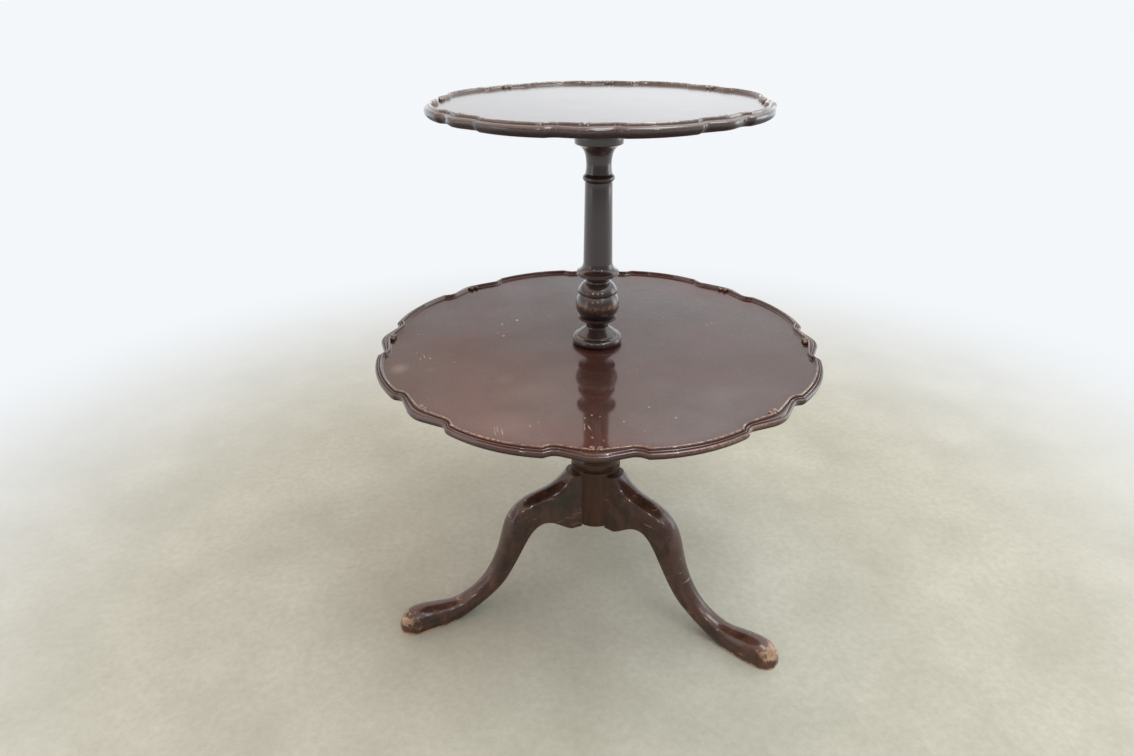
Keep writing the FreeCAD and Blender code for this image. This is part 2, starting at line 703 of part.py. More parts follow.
def build_leg(label, turn):
    """Cabriole leg on the local X axis, standing on the body's origin plane."""
    body = new_body(label, "0", turn)
    hub = size("hub_radius")
    toe = size("leg_reach")
    instep = toe - size("foot_length")
    instep_rise = size("instep_rise")
    top = size("leg_top_height")
    arch = size("hub_bottom - bracket_drop + arch_rise")
    sole = size("sole_planing")
    sections = []
    for crest_along, crest_up, belly_along, belly_up, share in KNEE_TO_ANKLE:
        crest = Vector(hub + crest_along * (instep - hub),
                       instep_rise + crest_up * (top - instep_rise), 0)
        belly = Vector(hub + belly_along * (instep - hub), belly_up * arch, 0)
        sections.append(leg_section(
            body, crest, belly, between("ankle_width", "knee_width", share),
            between("ankle_crown", "knee_crown", share), between("ankle_sag", "knee_sag", share),
            between("ankle_swell", "knee_swell", share)))
    for along, rise, spread in FOOT:
        radius = instep + along * (toe - instep)
        tall = rise * size("foot_rise")
        sections.append(leg_section(body, Vector(radius, tall, 0), Vector(radius, -sole, 0),
                                    spread * size("foot_width"), FOOT_CROWN * tall, 0.0,
                                    FOOT_SWELL * tall))
    loft = body.newObject("PartDesign::AdditiveLoft", "Cabriole")
    loft.Profile = sections[0]
    loft.Sections = sections[1:]
    loft.Ruled = False
    root = rectangle(0, 2.5 * hub, size("knee_width"))
    pocket(body, "FlatTop", root, "leg_top_height", "hub_radius", True)
    pocket(body, "Bracket", root, "hub_bottom - bracket_drop", "hub_bottom - bracket_drop")
    pocket(body, "Sole", rectangle(hub, toe + hub, size("foot_width")), "0", "2 * sole_planing")
    pocket(body, "Cope", [circle(hub)], "0", "leg_top_height", True)
    pad(body, "Tongue", dovetail_edges(size("hub_radius + dovetail_overrun"), size("glue_gap")), "hub_bottom",
        f"{HUB_HEIGHT} - dovetail_stop - glue_gap")
    pocket(body, "Pilot", [circle(size("screw_radius"), size("brace_screw_circle"))],
           "hub_bottom", "brace_screw_bite", True)
    return body


for index, place in enumerate(("rear", "left", "right")):
    build_leg(f"leg_{place}", size("leg_turn") + index * 360 / LEGS)

# ---------------------------------------------------------------- iron brace under the hub
brace_plate = new_body("brace_plate", "hub_bottom - brace_thickness", size("leg_turn"))
pad(brace_plate, "Disc", [circle(size("brace_disc_radius"))], "0", "brace_thickness")
arm_half = size("brace_arm_width / 2")
arm_end = size("brace_reach - brace_arm_width / 2")
arm = [
    Part.LineSegment(Vector(0, -arm_half, 0), Vector(arm_end, -arm_half, 0)),
    Part.Arc(Vector(arm_end, -arm_half, 0), Vector(arm_end + arm_half, 0, 0),
             Vector(arm_end, arm_half, 0)),
    Part.LineSegment(Vector(arm_end, arm_half, 0), Vector(0, arm_half, 0)),
    Part.LineSegment(Vector(0, arm_half, 0), Vector(0, -arm_half, 0)),
]
polar(brace_plate, "Arms", pad(brace_plate, "Arm", arm, "0", "brace_thickness"), LEGS)
drill(brace_plate, "Hole", "brace_screw_circle", LEGS, "0", "brace_thickness")
pocket(brace_plate, "MiddleHole", [circle(size("screw_radius"))], "0", "brace_thickness", True)

brace_screws = new_body("brace_screws", "hub_bottom - brace_thickness - screw_head_height",
                        size("leg_turn"))
SCREW_TIP = "screw_head_height + brace_thickness + brace_screw_bite"
ROUND_HEAD = [
    ("0", "0", 0), ("screw_head_radius - 1", "0", 0), ("screw_head_radius", "1", 0),
    ("screw_head_radius", "screw_head_height", 0), ("screw_radius", "screw_head_height", 0),
    ("screw_radius", SCREW_TIP, 0), ("0", SCREW_TIP, 0)]
revolve(brace_screws, "MiddleScrew", ROUND_HEAD)
polar(brace_screws, "ArmScrews",
      revolve(brace_screws, "ArmScrew", ROUND_HEAD, "brace_screw_circle"), LEGS)

# ---------------------------------------------------------------- checks and export
doc.recompute()
bodies = [item for item in doc.Objects if item.isDerivedFrom("PartDesign::Body")]
for item in doc.Objects:
    if "Invalid" in item.State or "Error" in item.State:
        raise RuntimeError(f"{item.Label} did not build: {item.State}")
for body in bodies:
    if body.Shape.isNull() or not body.Shape.isValid():
        raise RuntimeError(f"{body.Label} has no valid shape")

os.makedirs("parts", exist_ok=True)
for body in bodies:
    body.Shape.exportStep(f"parts/{body.Label}.step")
    print(body.Label, len(body.Shape.Solids), "solid", round(body.Shape.Volume / 1000, 1), "cm3")
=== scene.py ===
import math

import bmesh
import bpy
import numpy as np
from mathutils import Matrix, Vector


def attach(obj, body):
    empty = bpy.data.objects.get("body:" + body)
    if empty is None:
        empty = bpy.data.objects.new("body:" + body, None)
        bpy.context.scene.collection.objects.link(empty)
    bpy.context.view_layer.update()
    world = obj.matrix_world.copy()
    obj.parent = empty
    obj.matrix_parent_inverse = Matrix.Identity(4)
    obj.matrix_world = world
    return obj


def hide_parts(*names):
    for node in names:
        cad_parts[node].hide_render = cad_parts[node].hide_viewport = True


# Two-tier piecrust table. The trays, the column, the pillar and the screws are made again here
# with their fine profiles, in place of the CAD's nodes. The other nodes keep their own shape and
# get a finish. Shapes are in millimetres until they become a mesh; finishes, light and camera
# are in metres.

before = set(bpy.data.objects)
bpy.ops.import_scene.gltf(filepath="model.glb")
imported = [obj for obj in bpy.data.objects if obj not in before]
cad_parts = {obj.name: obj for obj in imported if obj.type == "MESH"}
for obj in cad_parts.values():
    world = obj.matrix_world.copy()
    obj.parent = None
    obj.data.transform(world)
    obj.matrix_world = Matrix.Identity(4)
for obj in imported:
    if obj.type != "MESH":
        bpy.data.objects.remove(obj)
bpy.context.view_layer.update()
MM = 0.001

# ---------------------------------------------------------------- camera
# Fitted to the photograph's outlines of both trays, the column and the feet.
CAMERA_AT = (-0.1629, -0.9708, 0.8593)
CAMERA_HEADING = math.radians(-7.043)
CAMERA_PITCH = math.radians(63.208)
CAMERA_ROLL = math.radians(-0.490)
CAMERA_SENSOR = 36.0
CAMERA_LENS = 24.292
CAMERA_CLIP = (0.05, 50.0)


def make_camera():
    data = bpy.data.cameras.new("camera")
    data.sensor_width = CAMERA_SENSOR
    data.lens = CAMERA_LENS
    data.clip_start, data.clip_end = CAMERA_CLIP
    camera = bpy.data.objects.new("camera", data)
    camera.matrix_world = (Matrix.Translation(CAMERA_AT)
                           @ Matrix.Rotation(CAMERA_HEADING, 4, "Z")
                           @ Matrix.Rotation(CAMERA_PITCH, 4, "X")
                           @ Matrix.Rotation(CAMERA_ROLL, 4, "Z"))
    bpy.context.scene.collection.objects.link(camera)
    bpy.context.scene.camera = camera


# ---------------------------------------------------------------- node helpers
def srgb(red, green, blue):
    """Linear colour of an sRGB triple in 0..255."""
    def linear(channel):
        share = channel / 255.0
        return share / 12.92 if share <= 0.04045 else ((share + 0.055) / 1.055) ** 2.4
    return tuple(linear(channel) for channel in (red, green, blue))


def shade(colour, share):
    return tuple(channel * share for channel in colour)


EVEN = (1, 1, 1)                    # mapping scale of a pattern that has no grain


class Nodes:
    """Short calls for building one material's node tree."""

    def __init__(self, name):
        self.material = bpy.data.materials.new(name)
        self.material.use_nodes = True
        self.tree = self.material.node_tree
        self.tree.nodes.clear()
        self.out = self.tree.nodes.new("ShaderNodeOutputMaterial")
        self.shader = self.tree.nodes.new("ShaderNodeBsdfPrincipled")
        self.tree.links.new(self.shader.outputs[0], self.out.inputs[0])
        self.place = self.tree.nodes.new("ShaderNodeTexCoord").outputs["Object"]

    def link(self, source, socket):
        self.tree.links.new(source, socket)

    def mapping(self, scale, turn=(0, 0, 0), shift=(0, 0, 0)):
        node = self.tree.nodes.new("ShaderNodeMapping")
        node.inputs["Scale"].default_value = scale
        node.inputs["Rotation"].default_value = turn
        node.inputs["Location"].default_value = shift
        self.link(self.place, node.inputs["Vector"])
        return node.outputs[0]

    def noise(self, vector, scale, detail, roughness, distortion=0.0):
        node = self.tree.nodes.new("ShaderNodeTexNoise")
        node.inputs["Scale"].default_value = scale
        node.inputs["Detail"].default_value = detail
        node.inputs["Roughness"].default_value = roughness
        node.inputs["Distortion"].default_value = distortion
        self.link(vector, node.inputs["Vector"])
        return node.outputs[0]

    def dots(self, vector, scale, edge, core):
        """Sparse dots that fade in from an edge distance to a core distance."""
        node = self.tree.nodes.new("ShaderNodeTexVoronoi")
        node.inputs["Scale"].default_value = scale
        self.link(vector, node.inputs["Vector"])
        return self.ramp(node.outputs["Distance"], edge, core)

    def ramp(self, value, low, high, from_low=0.0, from_high=1.0, smooth=False):
        node = self.tree.nodes.new("ShaderNodeMapRange")
        node.interpolation_type = "SMOOTHSTEP" if smooth else "LINEAR"
        for socket, number in (("From Min", low), ("From Max", high),
                               ("To Min", from_low), ("To Max", from_high)):
            node.inputs[socket].default_value = number
        self.link(value, node.inputs["Value"])
        return node.outputs[0]

    def math(self, kind, first, second):
        node = self.tree.nodes.new("ShaderNodeMath")
        node.operation = kind
        for socket, item in ((node.inputs[0], first), (node.inputs[1], second)):
            if isinstance(item, (int, float)):
                socket.default_value = item
            else:
                self.link(item, socket)
        return node.outputs[0]

    def times(self, *factors):
        product = factors[0]
        for factor in factors[1:]:
            product = self.math("MULTIPLY", product, factor)
        return product

    def mix(self, factor, first, second):
        node = self.tree.nodes.new("ShaderNodeMix")
        node.data_type = "RGBA"
        self.link(factor, node.inputs[0])
        for socket, item in ((node.inputs[6], first), (node.inputs[7], second)):
            if isinstance(item, tuple):
                socket.default_value = (*item, 1.0)
            else:
                self.link(item, socket)
        return node.outputs[2]

    def attribute(self, name):
        node = self.tree.nodes.new("ShaderNodeAttribute")
        node.attribute_name = name
        return node.outputs["Fac"]

    def split(self, vector):
        node = self.tree.nodes.new("ShaderNodeSeparateXYZ")
        self.link(vector, node.inputs[0])
        return node.outputs

    def length(self, vector):
        node = self.tree.nodes.new("ShaderNodeVectorMath")
        node.operation = "LENGTH"
        self.link(vector, node.inputs[0])
        return node.outputs["Value"]

    def spot(self, centre, size, heading):
        """Distance from a centre, in units of an ellipse's own half axes."""
        node = self.tree.nodes.new("ShaderNodeMapping")
        node.vector_type = "TEXTURE"
        node.inputs["Location"].default_value = centre
        node.inputs["Rotation"].default_value = (0, 0, heading)
        node.inputs["Scale"].default_value = size
        self.link(self.place, node.inputs["Vector"])
        return self.length(node.outputs[0])

    def upward(self):
        """How far the surface faces up, -1 to 1, in the object's own frame."""
        node = self.tree.nodes.new("ShaderNodeTexCoord")
        return self.split(node.outputs["Normal"])[2]

    def bump(self, height, strength, distance):
        node = self.tree.nodes.new("ShaderNodeBump")
        node.inputs["Strength"].default_value = strength
        node.inputs["Distance"].default_value = distance
        self.link(height, node.inputs["Height"])
        self.link(node.outputs[0], self.shader.inputs["Normal"])

    def set(self, **values):
        for name, value in values.items():
            self.shader.inputs[name.replace("_", " ")].default_value = value


# ---------------------------------------------------------------- floor, surroundings and lamps
BACKDROP = (0.90, 0.93, 0.96)
FLOOR_RADIUS = 3.0
FLOOR_SIDES = 128
FLOOR_TONES = (srgb(147, 150, 138), srgb(165, 168, 157))
FLOOR_GRIT = srgb(124, 124, 110)
FLOOR_FADE = (0.62, 1.7)            # distances between which the floor turns into backdrop

# Soft light by the direction it comes from: (low, high, strength at low, strength at high).
# The heights are those of the direction, 0 at the horizon and 1 overhead.
REAR_LOW = (0.10, 0.34, 1.28, 0.80)
REAR_HIGH = (0.38, 0.58, 0.0, 0.98)
FRONT = (0.42, 0.86, 0.40, 1.90)
REARWARD = (-0.75, 0.20, 0.0, 1.0)  # share of the rear's light, from front to rear
RIGHTWARD = (-0.05, 0.30, 1.0, 1.16)   # light from the right, against the left
# Low light from the left is warmer, where the lower tray mirrors it.
WARM = (0.96, 0.78, 0.70)
WARM_HEIGHT = (0.34, 0.44, 0.0, 1.0)
WARM_LEFTWARD = (0.36, -0.08, 0.25, 1.0)

# Lamps: place, size, power and aim.
LAMPS = {
    "lamp_above": ((0.8, -0.8, 2.7), (1.3, 1.3), 32.0, (0, 0, 0.2)),
    "lamp_left": ((-1.25, -1.65, 1.75), (0.10, 0.16), 2.6, (0, 0, 0.45)),
    "lamp_middle": ((-0.25, -2.0, 1.85), (0.10, 0.16), 2.6, (0, 0, 0.45)),
    "lamp_right": ((0.75, -1.75, 1.80), (0.10, 0.16), 2.6, (0, 0, 0.45)),
    "window_right": ((1.7, 0.15, 0.75), (0.8, 1.0), 5.0, (0, 0, 0.65)),
    "window_left": ((-1.5, -0.5, 0.75), (0.5, 0.9), 1.5, (0, 0, 0.65)),
}


def make_floor():
    bpy.ops.mesh.primitive_circle_add(vertices=FLOOR_SIDES, radius=FLOOR_RADIUS,
                                      fill_type="NGON")
    floor = bpy.context.object
    floor.name = "studio_floor"
    nodes = Nodes("studio_floor")
    flat = nodes.mapping(EVEN)
    blotch = nodes.noise(flat, 5.0, 6.0, 0.6)
    grit = nodes.noise(flat, 90.0, 4.0, 0.7)
    colour = nodes.mix(nodes.ramp(blotch, 0.3, 0.7), *FLOOR_TONES)
    colour = nodes.mix(nodes.ramp(grit, 0.35, 0.8, 0.0, 0.4), colour, FLOOR_GRIT)
    nodes.link(colour, nodes.shader.inputs["Base Color"])
    nodes.set(Roughness=0.7, Specular_IOR_Level=0.3)
    # the floor fades to the backdrop's own brightness, so no edge shows
    glow = nodes.tree.nodes.new("ShaderNodeEmission")
    glow.inputs[0].default_value = (*BACKDROP, 1.0)
    fade = nodes.tree.nodes.new("ShaderNodeMixShader")
    away = nodes.length(nodes.place)
    nodes.link(nodes.ramp(away, *FLOOR_FADE, smooth=True), fade.inputs[0])
    nodes.link(nodes.shader.outputs[0], fade.inputs[1])
    nodes.link(glow.outputs[0], fade.inputs[2])
    nodes.link(fade.outputs[0], nodes.out.inputs[0])
    floor.data.materials.append(nodes.material)


def make_surroundings():
    """Even backdrop to look at; soft light that depends on where it comes from."""
    world = bpy.data.worlds.new("studio")
    bpy.context.scene.world = world
    world.use_nodes = True
    tree = world.node_tree
    new, link = tree.nodes.new, tree.links.new

    def ramp(value, *numbers):
        node = new("ShaderNodeMapRange")
        node.interpolation_type = "SMOOTHSTEP"
        for index, number in enumerate(numbers, start=1):
            node.inputs[index].default_value = number
        link(value, node.inputs[0])
        return node.outputs[0]

    def maths(kind, first, second):
        node = new("ShaderNodeMath")
        node.operation = kind
        link(first, node.inputs[0])
        link(second, node.inputs[1])
        return node.outputs[0]

    direction = new("ShaderNodeSeparateXYZ")
    link(new("ShaderNodeTexCoord").outputs["Generated"], direction.inputs[0])
    across, depth, height = direction.outputs
    rear = maths("ADD", ramp(height, *REAR_LOW), ramp(height, *REAR_HIGH))
    front = ramp(height, *FRONT)
    level = maths("ADD", front, maths("MULTIPLY", ramp(depth, *REARWARD),
                                      maths("SUBTRACT", rear, front)))
    level = maths("MULTIPLY", level, ramp(across, *RIGHTWARD))
    tint = new("ShaderNodeMix")
    tint.data_type = "RGBA"
    tint.inputs[6].default_value = (*BACKDROP, 1.0)
    tint.inputs[7].default_value = (*WARM, 1.0)
    link(maths("MULTIPLY", ramp(height, *WARM_HEIGHT), ramp(across, *WARM_LEFTWARD)),
         tint.inputs[0])
    soft = new("ShaderNodeBackground")
    link(tint.outputs[2], soft.inputs[0])
    link(level, soft.inputs[1])
    seen = tree.nodes["Background"]
    seen.inputs[0].default_value = (*BACKDROP, 1.0)
    choice = new("ShaderNodeMixShader")
    link(new("ShaderNodeLightPath").outputs["Is Camera Ray"], choice.inputs[0])
    link(soft.outputs[0], choice.inputs[1])
    link(seen.outputs[0], choice.inputs[2])
    link(choice.outputs[0], tree.nodes["World Output"].inputs[0])
    bpy.context.scene.view_settings.view_transform = "Standard"


def make_lamps():
    for name, (place, size, power, aim) in LAMPS.items():
        data = bpy.data.lights.new(name, "AREA")
        data.shape = "RECTANGLE"
        data.size, data.size_y = size
        data.energy = power
        lamp = bpy.data.objects.new(name, data)
        lamp.location = place
        lamp.rotation_euler = (Vector(place) - Vector(aim)).to_track_quat("Z", "Y").to_euler()
        bpy.context.scene.collection.objects.link(lamp)


# ---------------------------------------------------------------- mesh helpers
CREASE = 35.0                       # degrees between faces from which an edge stays sharp


def new_piece(name, points, faces, material, body, node, attributes=None, crease=CREASE):
    """Mesh object in metres, from points in millimetres, that takes a CAD node's place."""
    mesh = bpy.data.meshes.new(name)
    mesh.from_pydata((np.asarray(points, float) * MM).tolist(), [], faces)
    mesh.validate()
    for key, values in (attributes or {}).items():
        layer = mesh.attributes.new(key, "FLOAT", "POINT")
        layer.data.foreach_set("value", np.asarray(values, np.float32))
    mesh.shade_smooth()
    mesh.set_sharp_from_angle(angle=math.radians(crease))
    piece = bpy.data.objects.new(name, mesh)
    bpy.context.scene.collection.objects.link(piece)
    mesh.materials.append(material)
    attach(piece, body)
    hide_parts(node)
    return piece


def bands(rings, count, first=0):
    """Quads between closed rings of equal point counts, as indexes."""
    faces = []
    for low in range(first, first + (rings - 1) * count, count):
        for index in range(count):
            after = (index + 1) % count
            faces.append((low + index, low + after, low + count + after, low + count + index))
    return faces


def unit(angle):
    return np.array([math.cos(angle), math.sin(angle)])


# ---------------------------------------------------------------- piecrust trays
# crest: height of the rim; floor: the board's, from the crest; turn: heading of one scroll.
# lobe, scroll, notch: how far out the outline's parts reach, and the radii of their own arcs.
# bore: radius of the hole in the middle, or a pinhole where there is none.
# curl: size of the knobs that the bead ends in; gather: how far it draws in at a bracket.
# lip: thickness of the edge below the roll; spread: the board's scale from side to side.
# gap: dirt at the bead's ends; rubbed: heading of the stretch that is taken hold of.
# dust: how pale the specks in the pores are; polish: least weight of the coat; blur: its
# roughness.
TIERS = {
    "lower": {"crest": 426.0, "turn": 80.5, "lobe": 306.0, "scroll": 305.0, "notch": 295.5,
              "lobe_arc": 200.0, "scroll_arc": 42.0, "notch_arc": 14.0, "bore": 15.08,
              "curl": 1.0, "lip": 0.85, "floor": -5.3, "gather": 4.0, "spread": 0.9998,
              "gap": 0.7, "rubbed": -71.0, "dust": 2.6, "polish": 0.80, "blur": 0.065},
    "upper": {"crest": 744.0, "turn": 76.5, "lobe": 211.5, "scroll": 210.5, "notch": 204.0,
              "lobe_arc": 138.0, "scroll_arc": 29.0, "notch_arc": 10.0, "bore": 0.5,
              "curl": 0.85, "lip": 1.0, "floor": -4.4, "gather": 2.8, "spread": 1.006,
              "gap": 0.1, "rubbed": -60.0, "dust": 1.9, "polish": 0.98, "blur": 0.13},
}
TRAY_DEPTH = 0.9998                 # scale from front to back, a hair inside the CAD's box
TRAY_CREASE = 40.0

# Rim mouldings: inward from the edge, height from the crest, wear, grime and shade. The last is
# grime in the quirk, the cove and the bead's foot, and painted shade on the roll and the
# underside.
MOULDING = [
    (13.5, -16.0, 0.0, 0.3), (10.5, -15.8, 0.0, 0.3), (7.5, -15.4, 0.0, 0.4),
    (5.6, -14.9, 0.05, 0.5), (4.0, -14.0, 0.05, 0.5), (2.6, -12.7, 0.1, 0.5),
    (1.3, -10.9, 0.1, 0.6), (0.4, -8.9, 0.2, 0.6), (0.02, -7.0, 0.35, 0.6),
    (0.1, -5.9, 0.5, 0.6), (0.5, -4.9, 0.6, 0.6), (1.1, -4.2, 0.6, 0.6),
    (1.9, -3.75, 0.4, 0.6), (2.7, -3.7, 0.1, 0.6), (3.2, -4.0, 0.0, 0.8),
    (3.5, -4.4, 0.0, 1.0), (3.75, -4.1, 0.0, 0.8), (3.95, -3.3, 0.1, 0.5),
    (4.3, -2.65, 0.35, 0.3), (4.8, -2.4, 0.4, 0.3), (5.3, -2.6, 0.2, 0.4),
    (5.7, -3.1, 0.1, 0.6), (6.1, -3.6, 0.0, 0.9), (6.5, -3.65, 0.0, 1.0),
    (6.75, -3.2, 0.1, 0.6), (6.9, -2.2, 0.3, 0.3), (7.05, -1.2, 0.6, 0.1),
    (7.4, -0.45, 0.95, 0.0), (7.95, -0.05, 1.0, 0.0), (8.55, 0.0, 1.0, 0.0),
    (9.15, -0.3, 0.95, 0.0), (9.6, -1.1, 0.6, 0.0), (9.85, -2.2, 0.3, 0.1),
    (10.05, -3.6, 0.0, 0.3), (10.45, -4.7, 0.0, 0.4), (11.25, -5.2, 0.0, 0.2),
    (12.4, -5.3, 0.0, 0.0),
]
# The small tray's rim has a plain ovolo where the large one has a ridge and a roll. The wear on
# its ovolo is a painted highlight, and on the bead's inner face it is partly a painted
# reflection of the pale surroundings.
UPPER_MOULDING = [
    (13.5, -16.0, 0.0, 0.1), (10.5, -15.8, 0.0, 0.1), (7.5, -15.4, 0.0, 0.1),
    (5.6, -14.9, 0.0, 0.1), (4.0, -14.0, 0.0, 0.1), (2.6, -12.7, 0.0, 0.1),
    (1.3, -10.9, 0.0, 0.1), (0.4, -8.9, 0.0, 0.1), (0.02, -7.0, 0.1, 0.1),
    (0.15, -6.1, 0.25, 0.0), (0.6, -5.1, 0.3, 0.0), (1.3, -4.25, 0.4, 0.0),
    (2.2, -3.6, 0.4, 0.0), (3.1, -3.2, 0.3, 0.0), (4.0, -3.0, 0.2, 0.1),
    (4.6, -3.1, 0.1, 0.2), (5.2, -3.4, 0.0, 0.4), (5.7, -3.7, 0.0, 0.5),
    (6.2, -3.8, 0.0, 0.5), (6.6, -3.3, 0.1, 0.4), (6.85, -2.2, 0.3, 0.2),
    (7.05, -1.2, 0.6, 0.1), (7.4, -0.45, 0.95, 0.0), (7.95, -0.05, 1.0, 0.0),
    (8.55, 0.0, 1.0, 0.0), (9.15, -0.3, 1.0, 0.0), (9.6, -1.1, 0.9, 0.0),
    (9.85, -2.2, 0.7, 0.0), (10.05, -3.4, 0.4, 0.1), (10.45, -4.1, 0.1, 0.1),
    (11.25, -4.35, 0.0, 0.1), (12.4, -4.4, 0.0, 0.0),
]
ROLL_INSET = 3.0                    # the outer roll ends here
BEAD_INSETS = (6.8, 9.9)            # the bead lies between these
BEAD_FOOT = -2.5                    # and above this, from the crest
EDGE_HEIGHT = -7.0                  # widest point of the edge, from the crest

SCALLOPS = 8
NOTCH_ANGLE = math.radians(8.2)
NOSE_FILLET = 9.0
TIP_STEPS, FLANK_STEPS, NOTCH_STEPS, NOSE_STEPS, LOBE_STEPS = 8, 5, 8, 4, 22
GATHER_FROM = 2.6                   # inset from which the rings draw in at a bracket
GATHER_OVER = 4.4

# Rings of a flat face, as shares of the way in from its edge; they are round from ROUND_AT on.
FLAT_RINGS = (0.06, 0.14, 0.3, 0.5, 0.7, 0.85, 0.95, 1.0)
ROUND_AT = 0.3

# The rubbed stretch of the roll: wear elsewhere, wear added in its middle, half its width in
# degrees and how squarely it ends.
RUB_BASE, RUB_MORE, RUB_HALF, RUB_POWER = 0.35, 0.9, 18.0, 4
NOTCH_DROP = 0.75                   # share by which the bead sinks at its own end
NOTCH_FLOOR = -2.6
# On the small tray, END_WEAR less its gap also lights the knobs all round: painted light over
# their shaded sides.
END_WEAR = 0.7                      # wear at the bead's ends, less their dirt

# Knobs: points round and along, size, reach and thickness at the start and the end, in mm.
KNOB_SIDES, KNOB_ROWS = 12, 24
KNOB_SIZE = 1.15
KNOB_REACH = (2.6, 0.4)
KNOB_THICK = (1.45, 1.15)
KNOB_START, KNOB_SWEEP = 90, 420    # degrees
KNOB_HEIGHT = 2.8
KNOB_INSET = 12.4                   # from a scroll's point, drawn in, to a knob's centre
KNOB_ASIDE = 4.9                    # from the scroll's middle to a knob's centre


def arc_points(centre, radius, first, last, count, skip_last=True):
    """Points on the short arc between two headings given as points."""
    start = math.atan2(*(first - centre)[::-1])
    end = math.atan2(*(last - centre)[::-1])
    while end - start > math.pi:
        end -= 2 * math.pi
    while start - end > math.pi:
        end += 2 * math.pi
    steps = np.linspace(start, end, count, endpoint=not skip_last)
    return [centre + radius * unit(step) for step in steps]


def toward(centre, point, radius):
    """Point on a circle, on the side that faces another point."""
    return centre + (point - centre) / np.linalg.norm(point - centre) * radius


def circles_meet(first, first_radius, second, second_radius):
    """The outer one of the two points in which circles cross."""
    apart = second - first
    gap = np.linalg.norm(apart)
    along = (gap ** 2 + first_radius ** 2 - second_radius ** 2) / (2 * gap)
    across = math.sqrt(first_radius ** 2 - along ** 2)
    direction = apart / gap
    side = np.array([-direction[1], direction[0]])
    options = [first + direction * along + side * across * sign for sign in (1, -1)]
    return max(options, key=np.linalg.norm)


def half_scallop(tier, inset):
    """Outline points from a scroll's point to the crown of a lobe, moved inward by inset."""
    half_step = math.pi / SCALLOPS
    lobe_centre = (tier["lobe"] - tier["lobe_arc"]) * unit(half_step)
    notch_centre = (tier["notch"] + tier["notch_arc"]) * unit(NOTCH_ANGLE)
    scroll_centre = np.array([tier["scroll"] - tier["scroll_arc"], 0.0])
    # the bracket's straight flank touches the circles of its point and of the hollow
    apart = notch_centre - scroll_centre
    outward = math.atan2(apart[1], apart[0]) - math.acos(
        (tier["scroll_arc"] + tier["notch_arc"]) / np.linalg.norm(apart))
    normal = unit(outward)
    scroll = tier["scroll_arc"] - inset
    notch = tier["notch_arc"] + inset
    lobe = tier["lobe_arc"] - inset
    tip = scroll_centre + np.array([scroll, 0.0])
    flank_start = scroll_centre + normal * scroll
    flank_end = notch_centre - normal * notch
    crown = lobe_centre + lobe * unit(half_step)
    # the nose is rounded at the outer edge and comes to a mitre further in
    fillet = NOSE_FILLET - inset
    if fillet > 0.0:
        centre = circles_meet(lobe_centre, lobe - fillet, notch_centre, notch + fillet)
        on_notch = toward(notch_centre, centre, notch)
        on_lobe = toward(lobe_centre, centre, lobe)
        nose = arc_points(centre, fillet, on_notch, on_lobe, NOSE_STEPS)
    else:
        on_notch = on_lobe = circles_meet(lobe_centre, lobe, notch_centre, notch)
        nose = [on_notch] * NOSE_STEPS
    points = arc_points(scroll_centre, scroll, tip, flank_start, TIP_STEPS)
    points += [flank_start + (flank_end - flank_start) * step
               for step in np.linspace(0, 1, FLANK_STEPS, endpoint=False)]
    points += arc_points(notch_centre, notch, flank_end, on_notch, NOTCH_STEPS)
    points += nose
    points += arc_points(lobe_centre, lobe, on_lobe, crown, LOBE_STEPS, skip_last=False)
    points = np.array(points)
    # the rim is broader on a bracket: the bead draws in towards the scroll
    share = min(max((inset - GATHER_FROM) / GATHER_OVER, 0.0), 1.0)
    span = tier["notch"] * math.sin(NOTCH_ANGLE)
    points[:, 0] -= (tier["gather"] * share * share * (3 - 2 * share)
                     * np.cos(np.clip(points[:, 1] / span, -1, 1) * math.pi / 2) ** 2)
    return points


def scallop_ring(tier, inset):
    """Closed outline as an array of points, turned to the tray's own heading."""
    half = half_scallop(tier, inset)
    mirror = half[::-1] * (1, -1)
    repeat = np.vstack([mirror[:-1], half[:-1]])
    ring = []
    for index in range(SCALLOPS):
        angle = math.radians(tier["turn"]) + index * 2 * math.pi / SCALLOPS
        turn = np.array([[math.cos(angle), -math.sin(angle)],
                         [math.sin(angle), math.cos(angle)]])
        ring.append(repeat @ turn.T)
    return np.vstack(ring)


def inward_rings(edge, bore):
    """Rings on a flat face from a scalloped edge in to a circle."""
    reach = np.linalg.norm(edge, axis=1)
    circle = edge / reach[:, None]
    rings = []
    for share in FLAT_RINGS:
        rounding = min(share / ROUND_AT, 1.0)
        radius = reach.min() * (1 - share) + bore * share
        even = reach * (1 - share) + bore * share
        rings.append(circle * (even * (1 - rounding) + radius * rounding)[:, None])
    return rings


